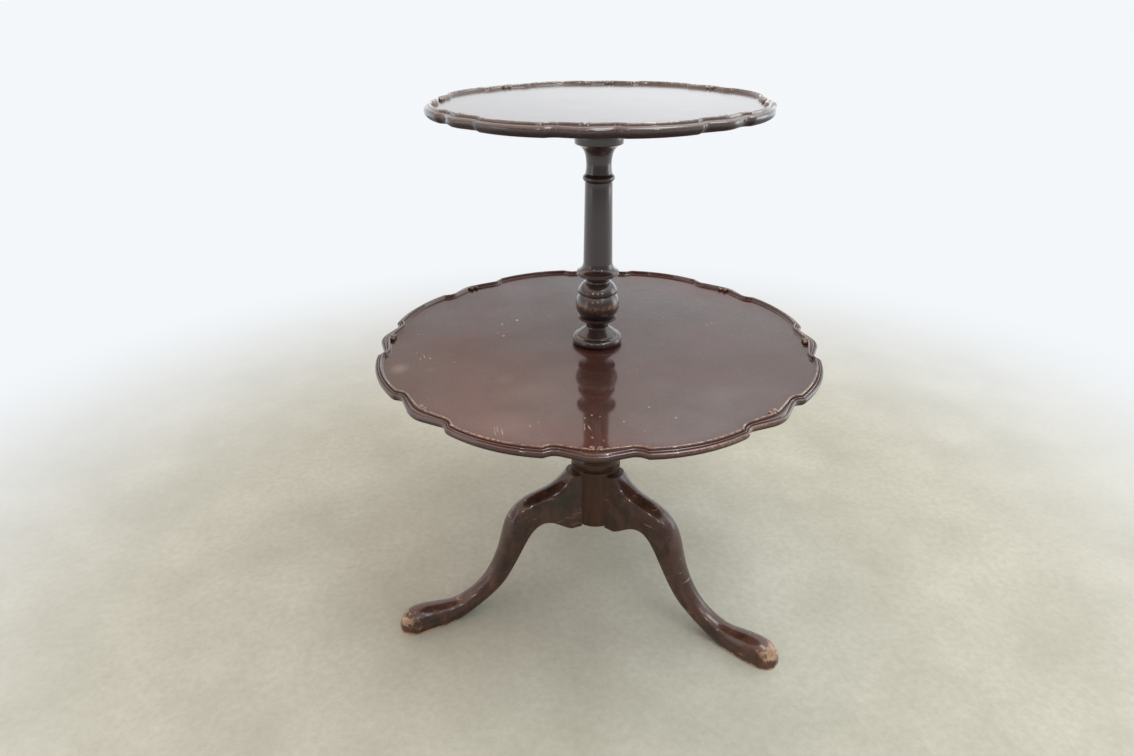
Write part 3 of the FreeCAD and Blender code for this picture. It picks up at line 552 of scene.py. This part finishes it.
def add_knob(points, faces, wear_and_highlight, grime_and_shade, centre, outward, beyond, tier):
    """Small knob where the bead ends: the bead curls up on itself."""
    first, last_row = len(points), KNOB_ROWS - 1
    size = KNOB_SIZE * tier["curl"]
    shares = np.linspace(0, 1, KNOB_ROWS)
    path = []
    for share in shares:
        angle = math.radians(KNOB_START + KNOB_SWEEP * share)
        reach = size * (KNOB_REACH[0] * (1 - share) + KNOB_REACH[1] * share)
        path.append(centre + reach * (math.sin(angle) * outward + math.cos(angle) * beyond))
    for index, (share, place) in enumerate(zip(shares, path)):
        along = path[min(index + 1, last_row)] - path[max(index - 1, 0)]
        along /= np.linalg.norm(along)
        normal = np.array([-along[1], along[0]])
        thick = size * (KNOB_THICK[0] * (1 - share) + KNOB_THICK[1] * share)
        top = tier["crest"] - 0.02 - 0.5 * (1 - share)
        for step in range(KNOB_SIDES):
            angle = 2 * math.pi * step / KNOB_SIDES
            flat = place + normal * thick * math.cos(angle)
            points.append((*flat, top + KNOB_HEIGHT * (math.sin(angle) - 1)))
            # on the small tray this floor lights each knob all round, painted light over its
            # shaded sides
            wear_and_highlight.append(max(1.5 * math.sin(angle) + 0.5, END_WEAR - tier["gap"]))
            grime_and_shade.append(tier["gap"] if math.sin(angle) < -0.3 else 0.0)
    sides = bands(KNOB_ROWS, KNOB_SIDES, first)
    start = tuple(range(first, first + KNOB_SIDES))
    end = tuple(index + last_row * KNOB_SIDES for index in start)
    if np.cross(outward, beyond) > 0:
        faces += [quad[::-1] for quad in sides] + [start, end[::-1]]
    else:
        faces += sides + [start[::-1], end]


def make_tray(name, tier, moulding, material, body, node):
    """Moulded board: rim swept along the scalloped outline, flat floor and underside."""
    crest, turn = tier["crest"], math.radians(tier["turn"])
    rim = [scallop_ring(tier, row[0]) for row in moulding]
    drops = [EDGE_HEIGHT + (row[1] - EDGE_HEIGHT) * tier["lip"] if row[1] < EDGE_HEIGHT
             else row[1] for row in moulding]
    count = len(rim[0])
    floor = inward_rings(rim[-1], tier["bore"])
    under = inward_rings(rim[0], tier["bore"])[::-1]
    rings = under + rim + floor
    rows = ([(drops[0], 0.0, 0.0)] * len(under)
            + [(drop, *row[2:]) for drop, row in zip(drops, moulding)]
            + [(tier["floor"], 0.0, 0.0)] * len(floor))
    points = [(*point, crest + row[0]) for ring, row in zip(rings, rows) for point in ring]
    wear_and_highlight, grime_and_shade = ([row[column] for row in rows for _ in range(count)] for column in (1, 2))
    repeat = count // SCALLOPS
    for row, (inset, drop, *_) in enumerate(moulding, start=len(under)):
        low, high = row * count, (row + 1) * count
        if inset < ROLL_INSET:
            # the outer roll is rubbed bright on the stretch that is taken hold of; on the small
            # tray its painted highlight is strongest there
            for index in range(low, high):
                x, y, _ = points[index]
                away = abs(math.degrees(math.atan2(y, x)) - tier["rubbed"])
                wear_and_highlight[index] *= RUB_BASE + RUB_MORE * math.exp(-(away / RUB_HALF) ** RUB_POWER)
        if BEAD_INSETS[0] < inset < BEAD_INSETS[1] and drop > BEAD_FOOT:
            # the bead stops short at each scroll's point, between its two knobs
            for tip in range(low + repeat // 2, high, repeat):
                x, y, z = points[tip]
                points[tip] = (x, y, z + NOTCH_DROP * (NOTCH_FLOOR - drop) * tier["curl"])
                wear_and_highlight[tip] *= END_WEAR - tier["gap"]
                grime_and_shade[tip] = tier["gap"]
    faces = bands(len(rings), count)
    last = (len(rings) - 1) * count
    for index in range(count):
        after = (index + 1) % count
        faces.append((last + index, last + after, after, index))
    for index in range(SCALLOPS):
        outward = unit(turn + index * 2 * math.pi / SCALLOPS)
        for side in (1, -1):
            beyond = side * np.array([-outward[1], outward[0]])
            centre = ((tier["scroll"] - tier["gather"] - KNOB_INSET) * outward
                      + KNOB_ASIDE * tier["curl"] * beyond)
            add_knob(points, faces, wear_and_highlight, grime_and_shade, centre, outward, beyond, tier)
    points = np.array(points) * (tier["spread"], TRAY_DEPTH, 1)
    return new_piece(name, points, faces, material, body, node,
                     {"wear_and_highlight": wear_and_highlight, "grime_and_shade": grime_and_shade}, TRAY_CREASE)


# ---------------------------------------------------------------- turned pieces
# Stations: radius, height, bulge of the stretch that follows (0 straight, 1 a half circle).
PILLAR_BASE = 123.0
PILLAR = [
    (0.5, 0.3, 0), (35.5, 0.3, 0), (35.5, 90, 0), (37.2, 90, 0), (37.2, 98, 0), (34.6, 98, 0),
    (34.6, 100, 0.42), (34.6, 117, 0), (31, 119, 0), (31, 123, 0), (33, 123, 0.2),
    (29, 168, -0.12), (19, 212, 0), (24.5, 215, 0), (24.5, 225, 0), (19, 228, -0.25),
    (31, 262, 0), (33, 262, 0), (33, 271, 0), (15, 271, 0), (15, 298, 0), (4.75, 298, 0),
]
COLUMN_BASE = 421.0
COLUMN_TOP = 292.0
COLUMN = [
    (4.75, 0, 0), (31.5, 0, 0), (34.0, 2.5, 0.5), (28.6, 12, 0), (28.6, 12.4, 0),
    (27.9, 12.7, 0), (28.0, 14, 0), (15.8, 23, -0.2), (15.8, 27, -0.3), (26.3, 35.9, 0),
    (26.3, 38.9, 0), (22, 38.9, 0.41), (24.3, 71.8, 0), (23.8, 72.4, 0), (24.4, 72.9, 0),
    (26.5, 73.3, 0), (26.5, 77.0, 0.16), (16.6, 88.8, -0.2), (16.2, 91.5, -0.2),
    (28.3, 99.0, 0), (28.3, 100.2, 0), (27.7, 100.6, 0), (28.3, 101.0, 0), (28.3, 103.5, -0.3),
    (19.5, 116, 0), (17.7, COLUMN_TOP - 69.7, 0), (19.3, COLUMN_TOP - 68.0, 0.45),
    (19.3, COLUMN_TOP - 61.5, 0), (17.4, COLUMN_TOP - 59.5, -0.1),
    (17.4, COLUMN_TOP - 37, -0.29), (30.7, COLUMN_TOP - 22.5, 0.1), (30.7, COLUMN_TOP, 0),
    (12.5, COLUMN_TOP, 0), (12.5, COLUMN_TOP + 15, 0), (0.5, COLUMN_TOP + 15, 0),
]
TURNED_SIDES = 112
DENSE_STEP = 0.25
EVEN_STEP = 0.2
OUTLINE_TOLERANCE = 0.02
LONGEST_STRETCH = 60                # dense points between two kept ones
COLUMN_SOFTEN = 0.35                # how far corners are eased
PILLAR_SOFTEN = 0.5


def dense_outline(stations):
    """Closely spaced (radius, height) points along straight and bulged stretches."""
    dense = []
    for (r0, z0, bulge), (r1, z1, _) in zip(stations, stations[1:]):
        start, end = np.array([r0, z0]), np.array([r1, z1])
        travel = end - start
        length = np.linalg.norm(travel)
        shares = np.linspace(0, 1, max(int(length / DENSE_STEP), 2), endpoint=False)
        if not bulge:
            dense += [start + travel * share for share in shares]
            continue
        middle = (start + end) / 2
        apex = middle + np.array([travel[1], -travel[0]]) * bulge / 2
        half = length / 2
        rise = length * abs(bulge) / 2
        radius = (half ** 2 + rise ** 2) / (2 * rise)
        centre = toward(apex, middle, radius)
        first = math.atan2(*(start - centre)[::-1])
        through = math.atan2(*(apex - centre)[::-1])
        sweep = (through - first + math.pi) % (2 * math.pi) - math.pi
        dense += [centre + radius * unit(first + 2 * sweep * share) for share in shares]
    dense.append(np.array(stations[-1][:2]))
    return np.array(dense)


def eased_outline(dense, soften):
    """Outline at an even spacing, its corners eased by a short Gaussian along it."""
    gaps = np.linalg.norm(np.diff(dense, axis=0), axis=1)
    travel = np.concatenate([[0], np.cumsum(gaps)])
    even = np.arange(0, travel[-1], EVEN_STEP)
    points = [np.interp(even, travel, dense[:, axis]) for axis in (0, 1)]
    reach = int(3 * soften / EVEN_STEP) + 1
    weights = np.exp(-0.5 * (np.arange(-reach, reach + 1) * EVEN_STEP / soften) ** 2)
    weights /= weights.sum()
    padded = [np.pad(row, reach, mode="edge") for row in points]
    return np.stack([np.convolve(row, weights, "valid") for row in padded], axis=1)


def thin_outline(points):
    """Drops outline points that lie close to the line between kept ones."""
    keep = {0, len(points) - 1}
    stack = [(0, len(points) - 1)]
    while stack:
        low, high = stack.pop()
        if high - low < 2:
            continue
        line = points[high] - points[low]
        away = points[low + 1:high] - points[low]
        offsets = np.abs(line[0] * away[:, 1] - line[1] * away[:, 0]) / np.linalg.norm(line)
        worst = int(np.argmax(offsets))
        if offsets[worst] > OUTLINE_TOLERANCE:
            middle = low + 1 + worst
        elif high - low > LONGEST_STRETCH:
            middle = (low + high) // 2
        else:
            continue
        keep.add(middle)
        stack += [(low, middle), (middle, high)]
    return points[sorted(keep)]


def make_turned(name, stations, base, soften, material, body, node):
    outline = thin_outline(eased_outline(dense_outline(stations), soften))
    points = []
    for radius, height in outline:
        for index in range(TURNED_SIDES):
            angle = 2 * math.pi * index / TURNED_SIDES
            points.append((radius * math.cos(angle), radius * math.sin(angle), base + height))
    faces = bands(len(outline), TURNED_SIDES)
    faces.append(tuple(range(TURNED_SIDES))[::-1])
    faces.append(tuple(range(len(points) - TURNED_SIDES, len(points))))
    return new_piece(name, points, faces, material, body, node)


# ---------------------------------------------------------------- wood screws
# Profiles: (radius, height) from the head's face up to the point.
SINK_HEAD = [(4.2, 0.0), (2.0, 2.6), (2.0, 15.0)]
ROUND_HEAD = [(3.2, 0.0), (3.85, 0.35), (4.2, 1.0), (4.2, 2.6), (2.0, 2.6), (2.0, 15.0)]
# Groups: body, height of the heads, radius and heading of their ring, count on the ring,
# whether there is one in the middle too, profile.
SCREWS = {
    "block_screws": ("lower_tier", 396.0, 47.0, 80.5, 4, False, SINK_HEAD + [(0.4, 20.0)]),
    "cleat_screws": ("stand", 713.0, 41.0, 76.5, 4, False, SINK_HEAD + [(0.4, 21.0)]),
    "brace_screws": ("stand", 118.4, 27.5, 75.0, 3, True, ROUND_HEAD + [(0.4, 20.6)]),
}
SLOT_WIDTH = 1.1
SLOT_DEPTH = 1.2
WIDEST_GAP = 0.9                    # of a ring's half width that the slot may take
HALF_SIDES = 15                     # points on each half of a ring
FIRST_SLOT, NEXT_SLOT = 0.4, 1.9    # headings of the slots, in radians


def add_screw(points, faces, centre, height, heading, profile):
    """Screw with its head down and a slot across the head."""
    radii, levels = zip(*profile)
    foot = (np.interp(SLOT_DEPTH, levels, radii), SLOT_DEPTH)
    cut = [row for row in profile if row[1] < SLOT_DEPTH] + [foot]
    rings = cut + [row for row in profile if row[1] > SLOT_DEPTH]
    first, count = len(points), 2 * HALF_SIDES
    for radius, up in rings:
        gap = math.asin(min(SLOT_WIDTH / 2 / radius, WIDEST_GAP))
        for side in (0, math.pi):
            for angle in np.linspace(gap, math.pi - gap, HALF_SIDES):
                flat = centre + radius * unit(heading + side + angle)
                points.append((*flat, height + up))
    for ring in range(len(rings) - 1):
        low = first + ring * count
        for index in range(count):
            if ring < len(cut) - 1 and index % HALF_SIDES == HALF_SIDES - 1:
                # wall of the slot, along one half
                start = low + index + 1 - HALF_SIDES
                faces.append((start, start + count, low + index + count, low + index))
            else:
                after = (index + 1) % count
                faces.append((low + index, low + after,
                              low + count + after, low + count + index))
    faces += [tuple(range(first, first + HALF_SIDES)),
              tuple(range(first + HALF_SIDES, first + count))]
    floor = first + (len(cut) - 1) * count
    faces.append((floor, floor + HALF_SIDES - 1, floor + HALF_SIDES, floor + count - 1))
    faces.append(tuple(range(len(points) - count, len(points))))


def make_screws(node, material):
    body, height, away, turn, count, middle, profile = SCREWS[node]
    points, faces = [], []
    places = [away * unit(math.radians(turn + 360 / count * index)) for index in range(count)]
    for index, centre in enumerate(places + [np.zeros(2)] * middle):
        add_screw(points, faces, centre, height, FIRST_SLOT + NEXT_SLOT * index, profile)
    piece = new_piece(f"{node}_slotted", points, faces, material, body, node)
    shape = bmesh.new()
    shape.from_mesh(piece.data)
    bmesh.ops.recalc_face_normals(shape, faces=shape.faces)
    shape.to_mesh(piece.data)
    shape.free()


# ---------------------------------------------------------------- wood finishes
GRAIN_DEPTH = 0.0003
COAT_ROUGH_TURNED = 0.12
COAT_ROUGH_LEG = 0.15
COAT_ROUGH_BLOCK = 0.5


def varnish(nodes, colour, fibres, pores, coat_rough, rough=(0.34, 0.5), coat=1.0, grain=0.2,
            under=0.25):
    """Wood under a clear coat; under is the share of gloss that is left to the wood itself."""
    nodes.link(colour, nodes.shader.inputs["Base Color"])
    nodes.link(nodes.ramp(fibres, 0.3, 0.8, *rough), nodes.shader.inputs["Roughness"])
    nodes.set(Coat_Weight=coat, Coat_Roughness=coat_rough, Specular_IOR_Level=under * coat)
    surface = nodes.math("ADD", nodes.times(fibres, 0.6), nodes.times(pores, 0.4))
    nodes.bump(surface, grain, GRAIN_DEPTH)


def wood(nodes, grain, dark, light, streaks=1.0):
    """Fibres, pores and slow changes of tone, as a colour and the two patterns behind it."""
    along = nodes.mapping(grain)
    fibres = nodes.noise(along, 9.0, 8.0, 0.62, 0.4)
    pores = nodes.noise(along, 42.0, 5.0, 0.7)
    tone = nodes.noise(nodes.mapping(EVEN), 7.0, 5.0, 0.6)
    colour = nodes.mix(nodes.ramp(fibres, 0.36, 0.68, 0.0, streaks), dark, light)
    colour = nodes.mix(nodes.ramp(pores, 0.60, 0.78, 0.0, 0.5), colour, shade(dark, 0.4))
    colour = nodes.mix(nodes.ramp(tone, 0.42, 0.74, 0.0, 0.4), colour, shade(dark, 0.6))
    return colour, fibres, pores


def speckle(nodes, scale, low, high):
    return nodes.ramp(nodes.noise(nodes.mapping(EVEN), scale, 6.0, 0.7), low, high)


# Scuffs on the lower tray: x, y and half width in mm, stretch, heading in degrees, strength.
SCUFFS = [
    (-106, 92, 2.2, 1.9, 82, 1.0), (-129, 80, 1.8, 1.9, 82, 0.9),
    (-129, 37, 1.8, 1.9, 82, 0.9), (-137, 48, 1.2, 1.9, 82, 0.6),
    (-153, -228, 0.8, 14.0, 91, 0.4), (-150, -225, 0.8, 12.0, 91, 0.4),
    (-145, -231, 0.8, 13.0, 93, 0.4), (-47, -236, 0.9, 8.1, 99, 0.7),
    (-52, -231, 1.0, 7.1, 84, 0.5), (-40, -208, 1.2, 1.9, 82, 0.7),
    (-31, -212, 1.1, 1.9, 82, 0.5), (-49, -213, 1.0, 3.2, 89, 0.6),
    (-47, -257, 1.1, 2.3, 119, 0.6), (-53, -238, 0.9, 4.4, 89, 0.5),
    (-36, -265, 1.0, 3.2, 94, 0.4), (55, -227, 1.4, 1.9, 82, 0.5),
    (30, -198, 1.3, 1.9, 82, 0.5), (-6, -227, 1.2, 1.9, 82, 0.4),
    (13, -251, 1.0, 1.7, 172, 0.35), (-250, 59, 1.1, 3.3, 172, 0.45),
    (-243, 60, 1.0, 1.9, 82, 0.4), (-239, -18, 1.1, 5.3, 101, 0.5),
    (-231, -25, 1.4, 2.4, 103, 0.7), (-250, -4, 1.1, 1.7, 110, 0.4),
    (-244, -25, 0.8, 8.2, 98, 0.4), (177, 39, 1.0, 13.1, 168, 0.3),
    (169, 33, 1.2, 1.9, 82, 0.5), (113, 73, 1.0, 1.9, 82, 0.4),
    (-103, -215, 1.0, 2.6, 111, 0.5), (-113, -222, 1.0, 2.6, 111, 0.4),
    (-199, -42, 1.1, 3.0, 144, 0.35),
]
# Soft bloom in the polish, as SCUFFS.
SMUDGES = [
    (-270, -51, 17.0, 1.3, 80, 0.26), (-135, -100, 18.0, 1.4, 80, 0.07),
    (-109, -140, 44.0, 1.3, 10, 0.07), (117, -180, 34.0, 1.6, 20, 0.05),
    (-141, -216, 42.0, 1.3, 170, 0.06), (-230, -60, 10.0, 1.2, 80, 0.07),
]
STAINS = [(-43, -14, 1.7, 1.0, 0, 1.0)]
FILM_TONE = srgb(150, 142, 126)
FLECK_TONE = srgb(164, 138, 120)
SCUFF_TONE = srgb(206, 182, 162)
SMUDGE_TONE = srgb(158, 146, 128)
STAIN_TONE = srgb(16, 12, 11)
GRIME_AND_SHADE_TONE = srgb(24, 18, 16)
WORN_FRONT = (-0.24, -0.12)         # where the front's fleck colour gives way to the other
TRAY_COAT_IOR = 1.6


def tray_finish(name, tier, tones, worn_and_highlight_tones, wear_share, scuffs=(), smudges=(), stains=()):
    """Polished board; worn holds the tones of rubbed wood and of bare flecks in front and
    elsewhere, which on the small board also paint its highlight and a reflection on its bead.
    """
    nodes = Nodes(name)
    dark, light, red = tones
    rubbed, front_flecks, other_flecks = worn_and_highlight_tones
    colour, fibres, pores = wood(nodes, (4.0, 7.0, 7.0), dark, light, 0.3)
    flat = nodes.mapping(EVEN)
    patch = nodes.ramp(nodes.noise(flat, 4.2, 3.0, 0.5), 0.42, 0.64, smooth=True)
    colour = nodes.mix(nodes.times(patch, 0.55), colour, red)
    dust = nodes.noise(flat, 330.0, 3.0, 0.6)
    colour = nodes.mix(nodes.ramp(dust, 0.45, 0.75, 0.0, 0.45), colour,
                       shade(light, tier["dust"]))
    # thin cloudy film in the polish
    film = nodes.noise(nodes.mapping(EVEN, shift=(0.4, 0.1, 0)), 9.0, 4.0, 0.6)
    colour = nodes.mix(nodes.ramp(film, 0.44, 0.68, 0.0, 0.025, smooth=True), colour, FILM_TONE)
    areas = nodes.ramp(nodes.noise(flat, 6.0, 4.0, 0.6), 0.46, 0.62)
    flecks = nodes.times(nodes.dots(flat, 60.0, 0.040, 0.015), areas, 0.5)
    colour = nodes.mix(flecks, colour, FLECK_TONE)

    ragged = speckle(nodes, 240.0, 0.66, 0.40)
    plane = (tier["crest"] + tier["floor"]) * MM

    def away(spot, thickness):
        x, y, width, stretch, heading, _ = spot
        return nodes.spot((x * MM, y * MM, plane),
                          (width * stretch * MM, width * MM, thickness), math.radians(heading))

    for spot in scuffs:
        mark = nodes.ramp(away(spot, 0.002), 1.0, 0.5, 0.0, spot[-1])
        colour = nodes.mix(nodes.times(mark, ragged), colour, SCUFF_TONE)
    for spot in smudges:
        mark = nodes.ramp(away(spot, 0.004), 1.0, 0.0, 0.0, spot[-1], smooth=True)
        colour = nodes.mix(mark, colour, SMUDGE_TONE)
    for spot in stains:
        mark = nodes.ramp(away(spot, 0.002), 1.0, 0.7, 0.0, spot[-1])
        colour = nodes.mix(mark, colour, STAIN_TONE)
    # grime in the rim's hollows, and painted shade on its roll and underside
    colour = nodes.mix(nodes.times(nodes.attribute("grime_and_shade"), 0.7), colour, GRIME_AND_SHADE_TONE)

    # edges: first rubbed down to browner wood, then flecked down to the pale bare wood; on the
    # small board these lighter tones also paint its highlight and a reflection on the bead
    wear_and_highlight = nodes.attribute("wear_and_highlight")
    area = speckle(nodes, 14.0, 0.38, 0.60)
    brown = nodes.times(nodes.ramp(wear_and_highlight, 0.0, 0.6), nodes.ramp(area, 0.0, 1.0, 0.35, 0.8))
    colour = nodes.mix(brown, colour, rubbed)
    bare = nodes.times(nodes.ramp(wear_and_highlight, 0.35, 0.9), speckle(nodes, 260.0, 0.44, 0.60),
                       nodes.times(area, wear_share))
    depth = nodes.split(nodes.place)[1]
    colour = nodes.mix(bare, colour, nodes.mix(nodes.ramp(depth, *WORN_FRONT, smooth=True),
                                               front_flecks, other_flecks))
    varnish(nodes, colour, fibres, pores, tier["blur"], grain=0.08, under=0.08)
    nodes.set(Coat_IOR=TRAY_COAT_IOR)
    # the polish is thinner in places, and the underside has none
    polish = nodes.times(nodes.ramp(film, 0.42, 0.66, 1.0, tier["polish"], smooth=True),
                         nodes.ramp(nodes.upward(), -0.5, -0.1))
    nodes.link(polish, nodes.shader.inputs["Coat Weight"])
    return nodes.material


BALL_WEAR = 0.4798                  # height of the rubbed band round the column's ball
BALL_WEAR_BELOW = 0.0055
BALL_WEAR_ABOVE = 0.005
BALL_WEAR_TONE = srgb(142, 108, 58)


def turned_finish(name, dark, light, darkening, coat=1.0):
    """Turned wood, darker towards one end, from where the darkening starts to where it is
    thickest, and by how much.
    """
    nodes = Nodes(name)
    colour, fibres, pores = wood(nodes, (10.0, 10.0, 0.8), dark, light)
    height = nodes.split(nodes.place)[2]
    band = nodes.times(
        nodes.ramp(height, BALL_WEAR - BALL_WEAR_BELOW, BALL_WEAR, smooth=True),
        nodes.ramp(height, BALL_WEAR + BALL_WEAR_ABOVE, BALL_WEAR, smooth=True))
    flakes = nodes.noise(nodes.mapping((1, 1, 0.6)), 210.0, 5.0, 0.75)
    rubbed = nodes.times(band, nodes.ramp(flakes, 0.42, 0.54), speckle(nodes, 60.0, 0.36, 0.56),
                         0.8)
    colour = nodes.mix(rubbed, colour, BALL_WEAR_TONE)
    # darker towards one end: on the pillar this is painted shade under the lower tray
    start, thickest, share = darkening
    colour = nodes.mix(nodes.ramp(height, start, thickest, 0.0, share, smooth=True), colour,
                       shade(dark, 0.35))
    varnish(nodes, colour, fibres, pores, COAT_ROUGH_TURNED, coat=coat)
    return nodes.material


LEG_TONES = (srgb(44, 28, 21), srgb(86, 55, 42))
LEG_RUBBED = srgb(120, 84, 64)
LEG_MARKS = srgb(160, 116, 84)
LEG_BARE = (srgb(204, 178, 144), srgb(136, 106, 82))
TOE_WEAR = 0.304                    # reach at which a toe is worn bare
TOE_WEAR_OVER = 0.010


def leg_finish(name):
    """Bare wood at the toes and along the soles, rubbed crests and a few scratches."""
    nodes = Nodes(name)
    colour, fibres, pores = wood(nodes, (5.0, 5.0, 3.0), *LEG_TONES)
    x, y, z = nodes.split(nodes.place)
    reach = nodes.math("SQRT", nodes.math("ADD", nodes.times(x, x), nodes.times(y, y)), 0.0)
    ragged = nodes.noise(nodes.mapping(EVEN), 60.0, 8.0, 0.75)

    def uneven(value, amount):
        return nodes.math("ADD", value, nodes.ramp(ragged, 0.3, 0.7, -amount, amount))

    toe = nodes.times(
        nodes.ramp(uneven(reach, 0.022), TOE_WEAR, TOE_WEAR + TOE_WEAR_OVER),
        nodes.ramp(uneven(z, 0.006), 0.012, 0.017), speckle(nodes, 120.0, 0.34, 0.52), 0.92)
    sole = nodes.ramp(uneven(z, 0.002), 0.0045, 0.0025, 0.0, 0.8)
    scratch = nodes.noise(nodes.mapping((6.0, 6.0, 60.0), (0.5, 0.4, 0.3)), 7.0, 2.0, 0.5)
    dots = nodes.dots(nodes.mapping((1, 1, 0.7)), 105.0, 0.085, 0.045)
    marks = nodes.times(nodes.math("MAXIMUM", nodes.ramp(scratch, 0.655, 0.69), dots),
                        speckle(nodes, 14.0, 0.46, 0.56), 0.7)
    rub = nodes.times(nodes.ramp(nodes.upward(), 0.55, 0.95), speckle(nodes, 90.0, 0.56, 0.72),
                      0.35)
    colour = nodes.mix(rub, colour, LEG_RUBBED)
    colour = nodes.mix(marks, colour, LEG_MARKS)
    colour = nodes.mix(nodes.math("MAXIMUM", toe, sole), colour,
                       nodes.mix(nodes.ramp(ragged, 0.42, 0.60), *LEG_BARE))
    varnish(nodes, colour, fibres, pores, COAT_ROUGH_LEG, coat=0.75)
    return nodes.material


def block_finish(name, dark, light):
    nodes = Nodes(name)
    colour, fibres, pores = wood(nodes, (1.0, 12.0, 12.0), dark, light)
    varnish(nodes, colour, fibres, pores, COAT_ROUGH_BLOCK, (0.55, 0.75))
    return nodes.material


def mottled(name, colour, other, rough, metal, scale):
    """Uneven finish for the small fixings."""
    nodes = Nodes(name)
    uneven = nodes.noise(nodes.mapping(EVEN), scale, 6.0, 0.65)
    nodes.link(nodes.mix(nodes.ramp(uneven, 0.4, 0.65), colour, other),
               nodes.shader.inputs["Base Color"])
    nodes.link(nodes.ramp(uneven, 0.3, 0.7, rough, rough + 0.2),
               nodes.shader.inputs["Roughness"])
    nodes.set(Metallic=metal)
    nodes.bump(uneven, 0.2, GRAIN_DEPTH)
    return nodes.material


# ---------------------------------------------------------------- the whole scene
make_camera()
make_floor()
make_surroundings()
make_lamps()

lower_wood = tray_finish("tray_mahogany", TIERS["lower"],
                         (srgb(46, 26, 21), srgb(55, 32, 25), srgb(70, 28, 23)),
                         (srgb(88, 60, 46), srgb(190, 150, 126), srgb(160, 146, 132)), 0.7,
                         SCUFFS, SMUDGES, STAINS)
# The small board's tones are greyer and lighter than the large one's, partly a painted
# reflection of the pale surroundings; its worn tones are pale grey, partly a painted highlight.
upper_wood = tray_finish("tray_mahogany_upper", TIERS["upper"],
                         (srgb(54, 43, 41), srgb(64, 51, 48), srgb(62, 46, 43)),
                         (srgb(112, 101, 95), srgb(170, 158, 150), srgb(186, 178, 170)), 0.85)
# the column is darker below the band on its ball, down to its foot; the pillar is darker under
# the tray, as painted shade
column_wood = turned_finish("turned_mahogany", srgb(46, 32, 28), srgb(66, 45, 38),
                            (0.476, 0.469, 0.5))
pillar_wood = turned_finish("pillar_mahogany", srgb(58, 35, 23), srgb(80, 49, 32),
                            (0.318, 0.342, 0.75), 0.5)
leg_wood = leg_finish("leg_mahogany")
block_wood = block_finish("block_mahogany", srgb(92, 58, 43), srgb(122, 80, 60))
beech = mottled("dowel_beech", srgb(196, 158, 112), srgb(176, 136, 92), 0.6, 0.0, 60.0)
brass = mottled("washer_brass", srgb(176, 140, 72), srgb(132, 98, 48), 0.3, 1.0, 80.0)
iron = mottled("brace_iron", srgb(64, 60, 58), srgb(96, 68, 50), 0.5, 0.8, 60.0)
steel = mottled("screw_steel", srgb(128, 122, 114), srgb(96, 84, 70), 0.35, 1.0, 90.0)

make_tray("lower_tray_board", TIERS["lower"], MOULDING, lower_wood, "lower_tier", "lower_tray")
make_tray("upper_tray_board", TIERS["upper"], UPPER_MOULDING, upper_wood, "stand", "upper_tray")
make_turned("upper_column_turning", COLUMN, COLUMN_BASE, COLUMN_SOFTEN, column_wood, "stand",
            "upper_column")
make_turned("pillar_turning", PILLAR, PILLAR_BASE, PILLAR_SOFTEN, pillar_wood, "stand",
            "pillar")
for name in SCREWS:
    make_screws(name, steel)

for names, material in (
        (("leg_rear", "leg_left", "leg_right"), leg_wood),
        (("bearing_block", "upper_cleat"), block_wood), (("centre_stud",), beech),
        (("thrust_washer",), brass), (("brace_plate",), iron)):
    for name in names:
        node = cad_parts[name]
        node.data.materials.clear()
        node.data.materials.append(material)
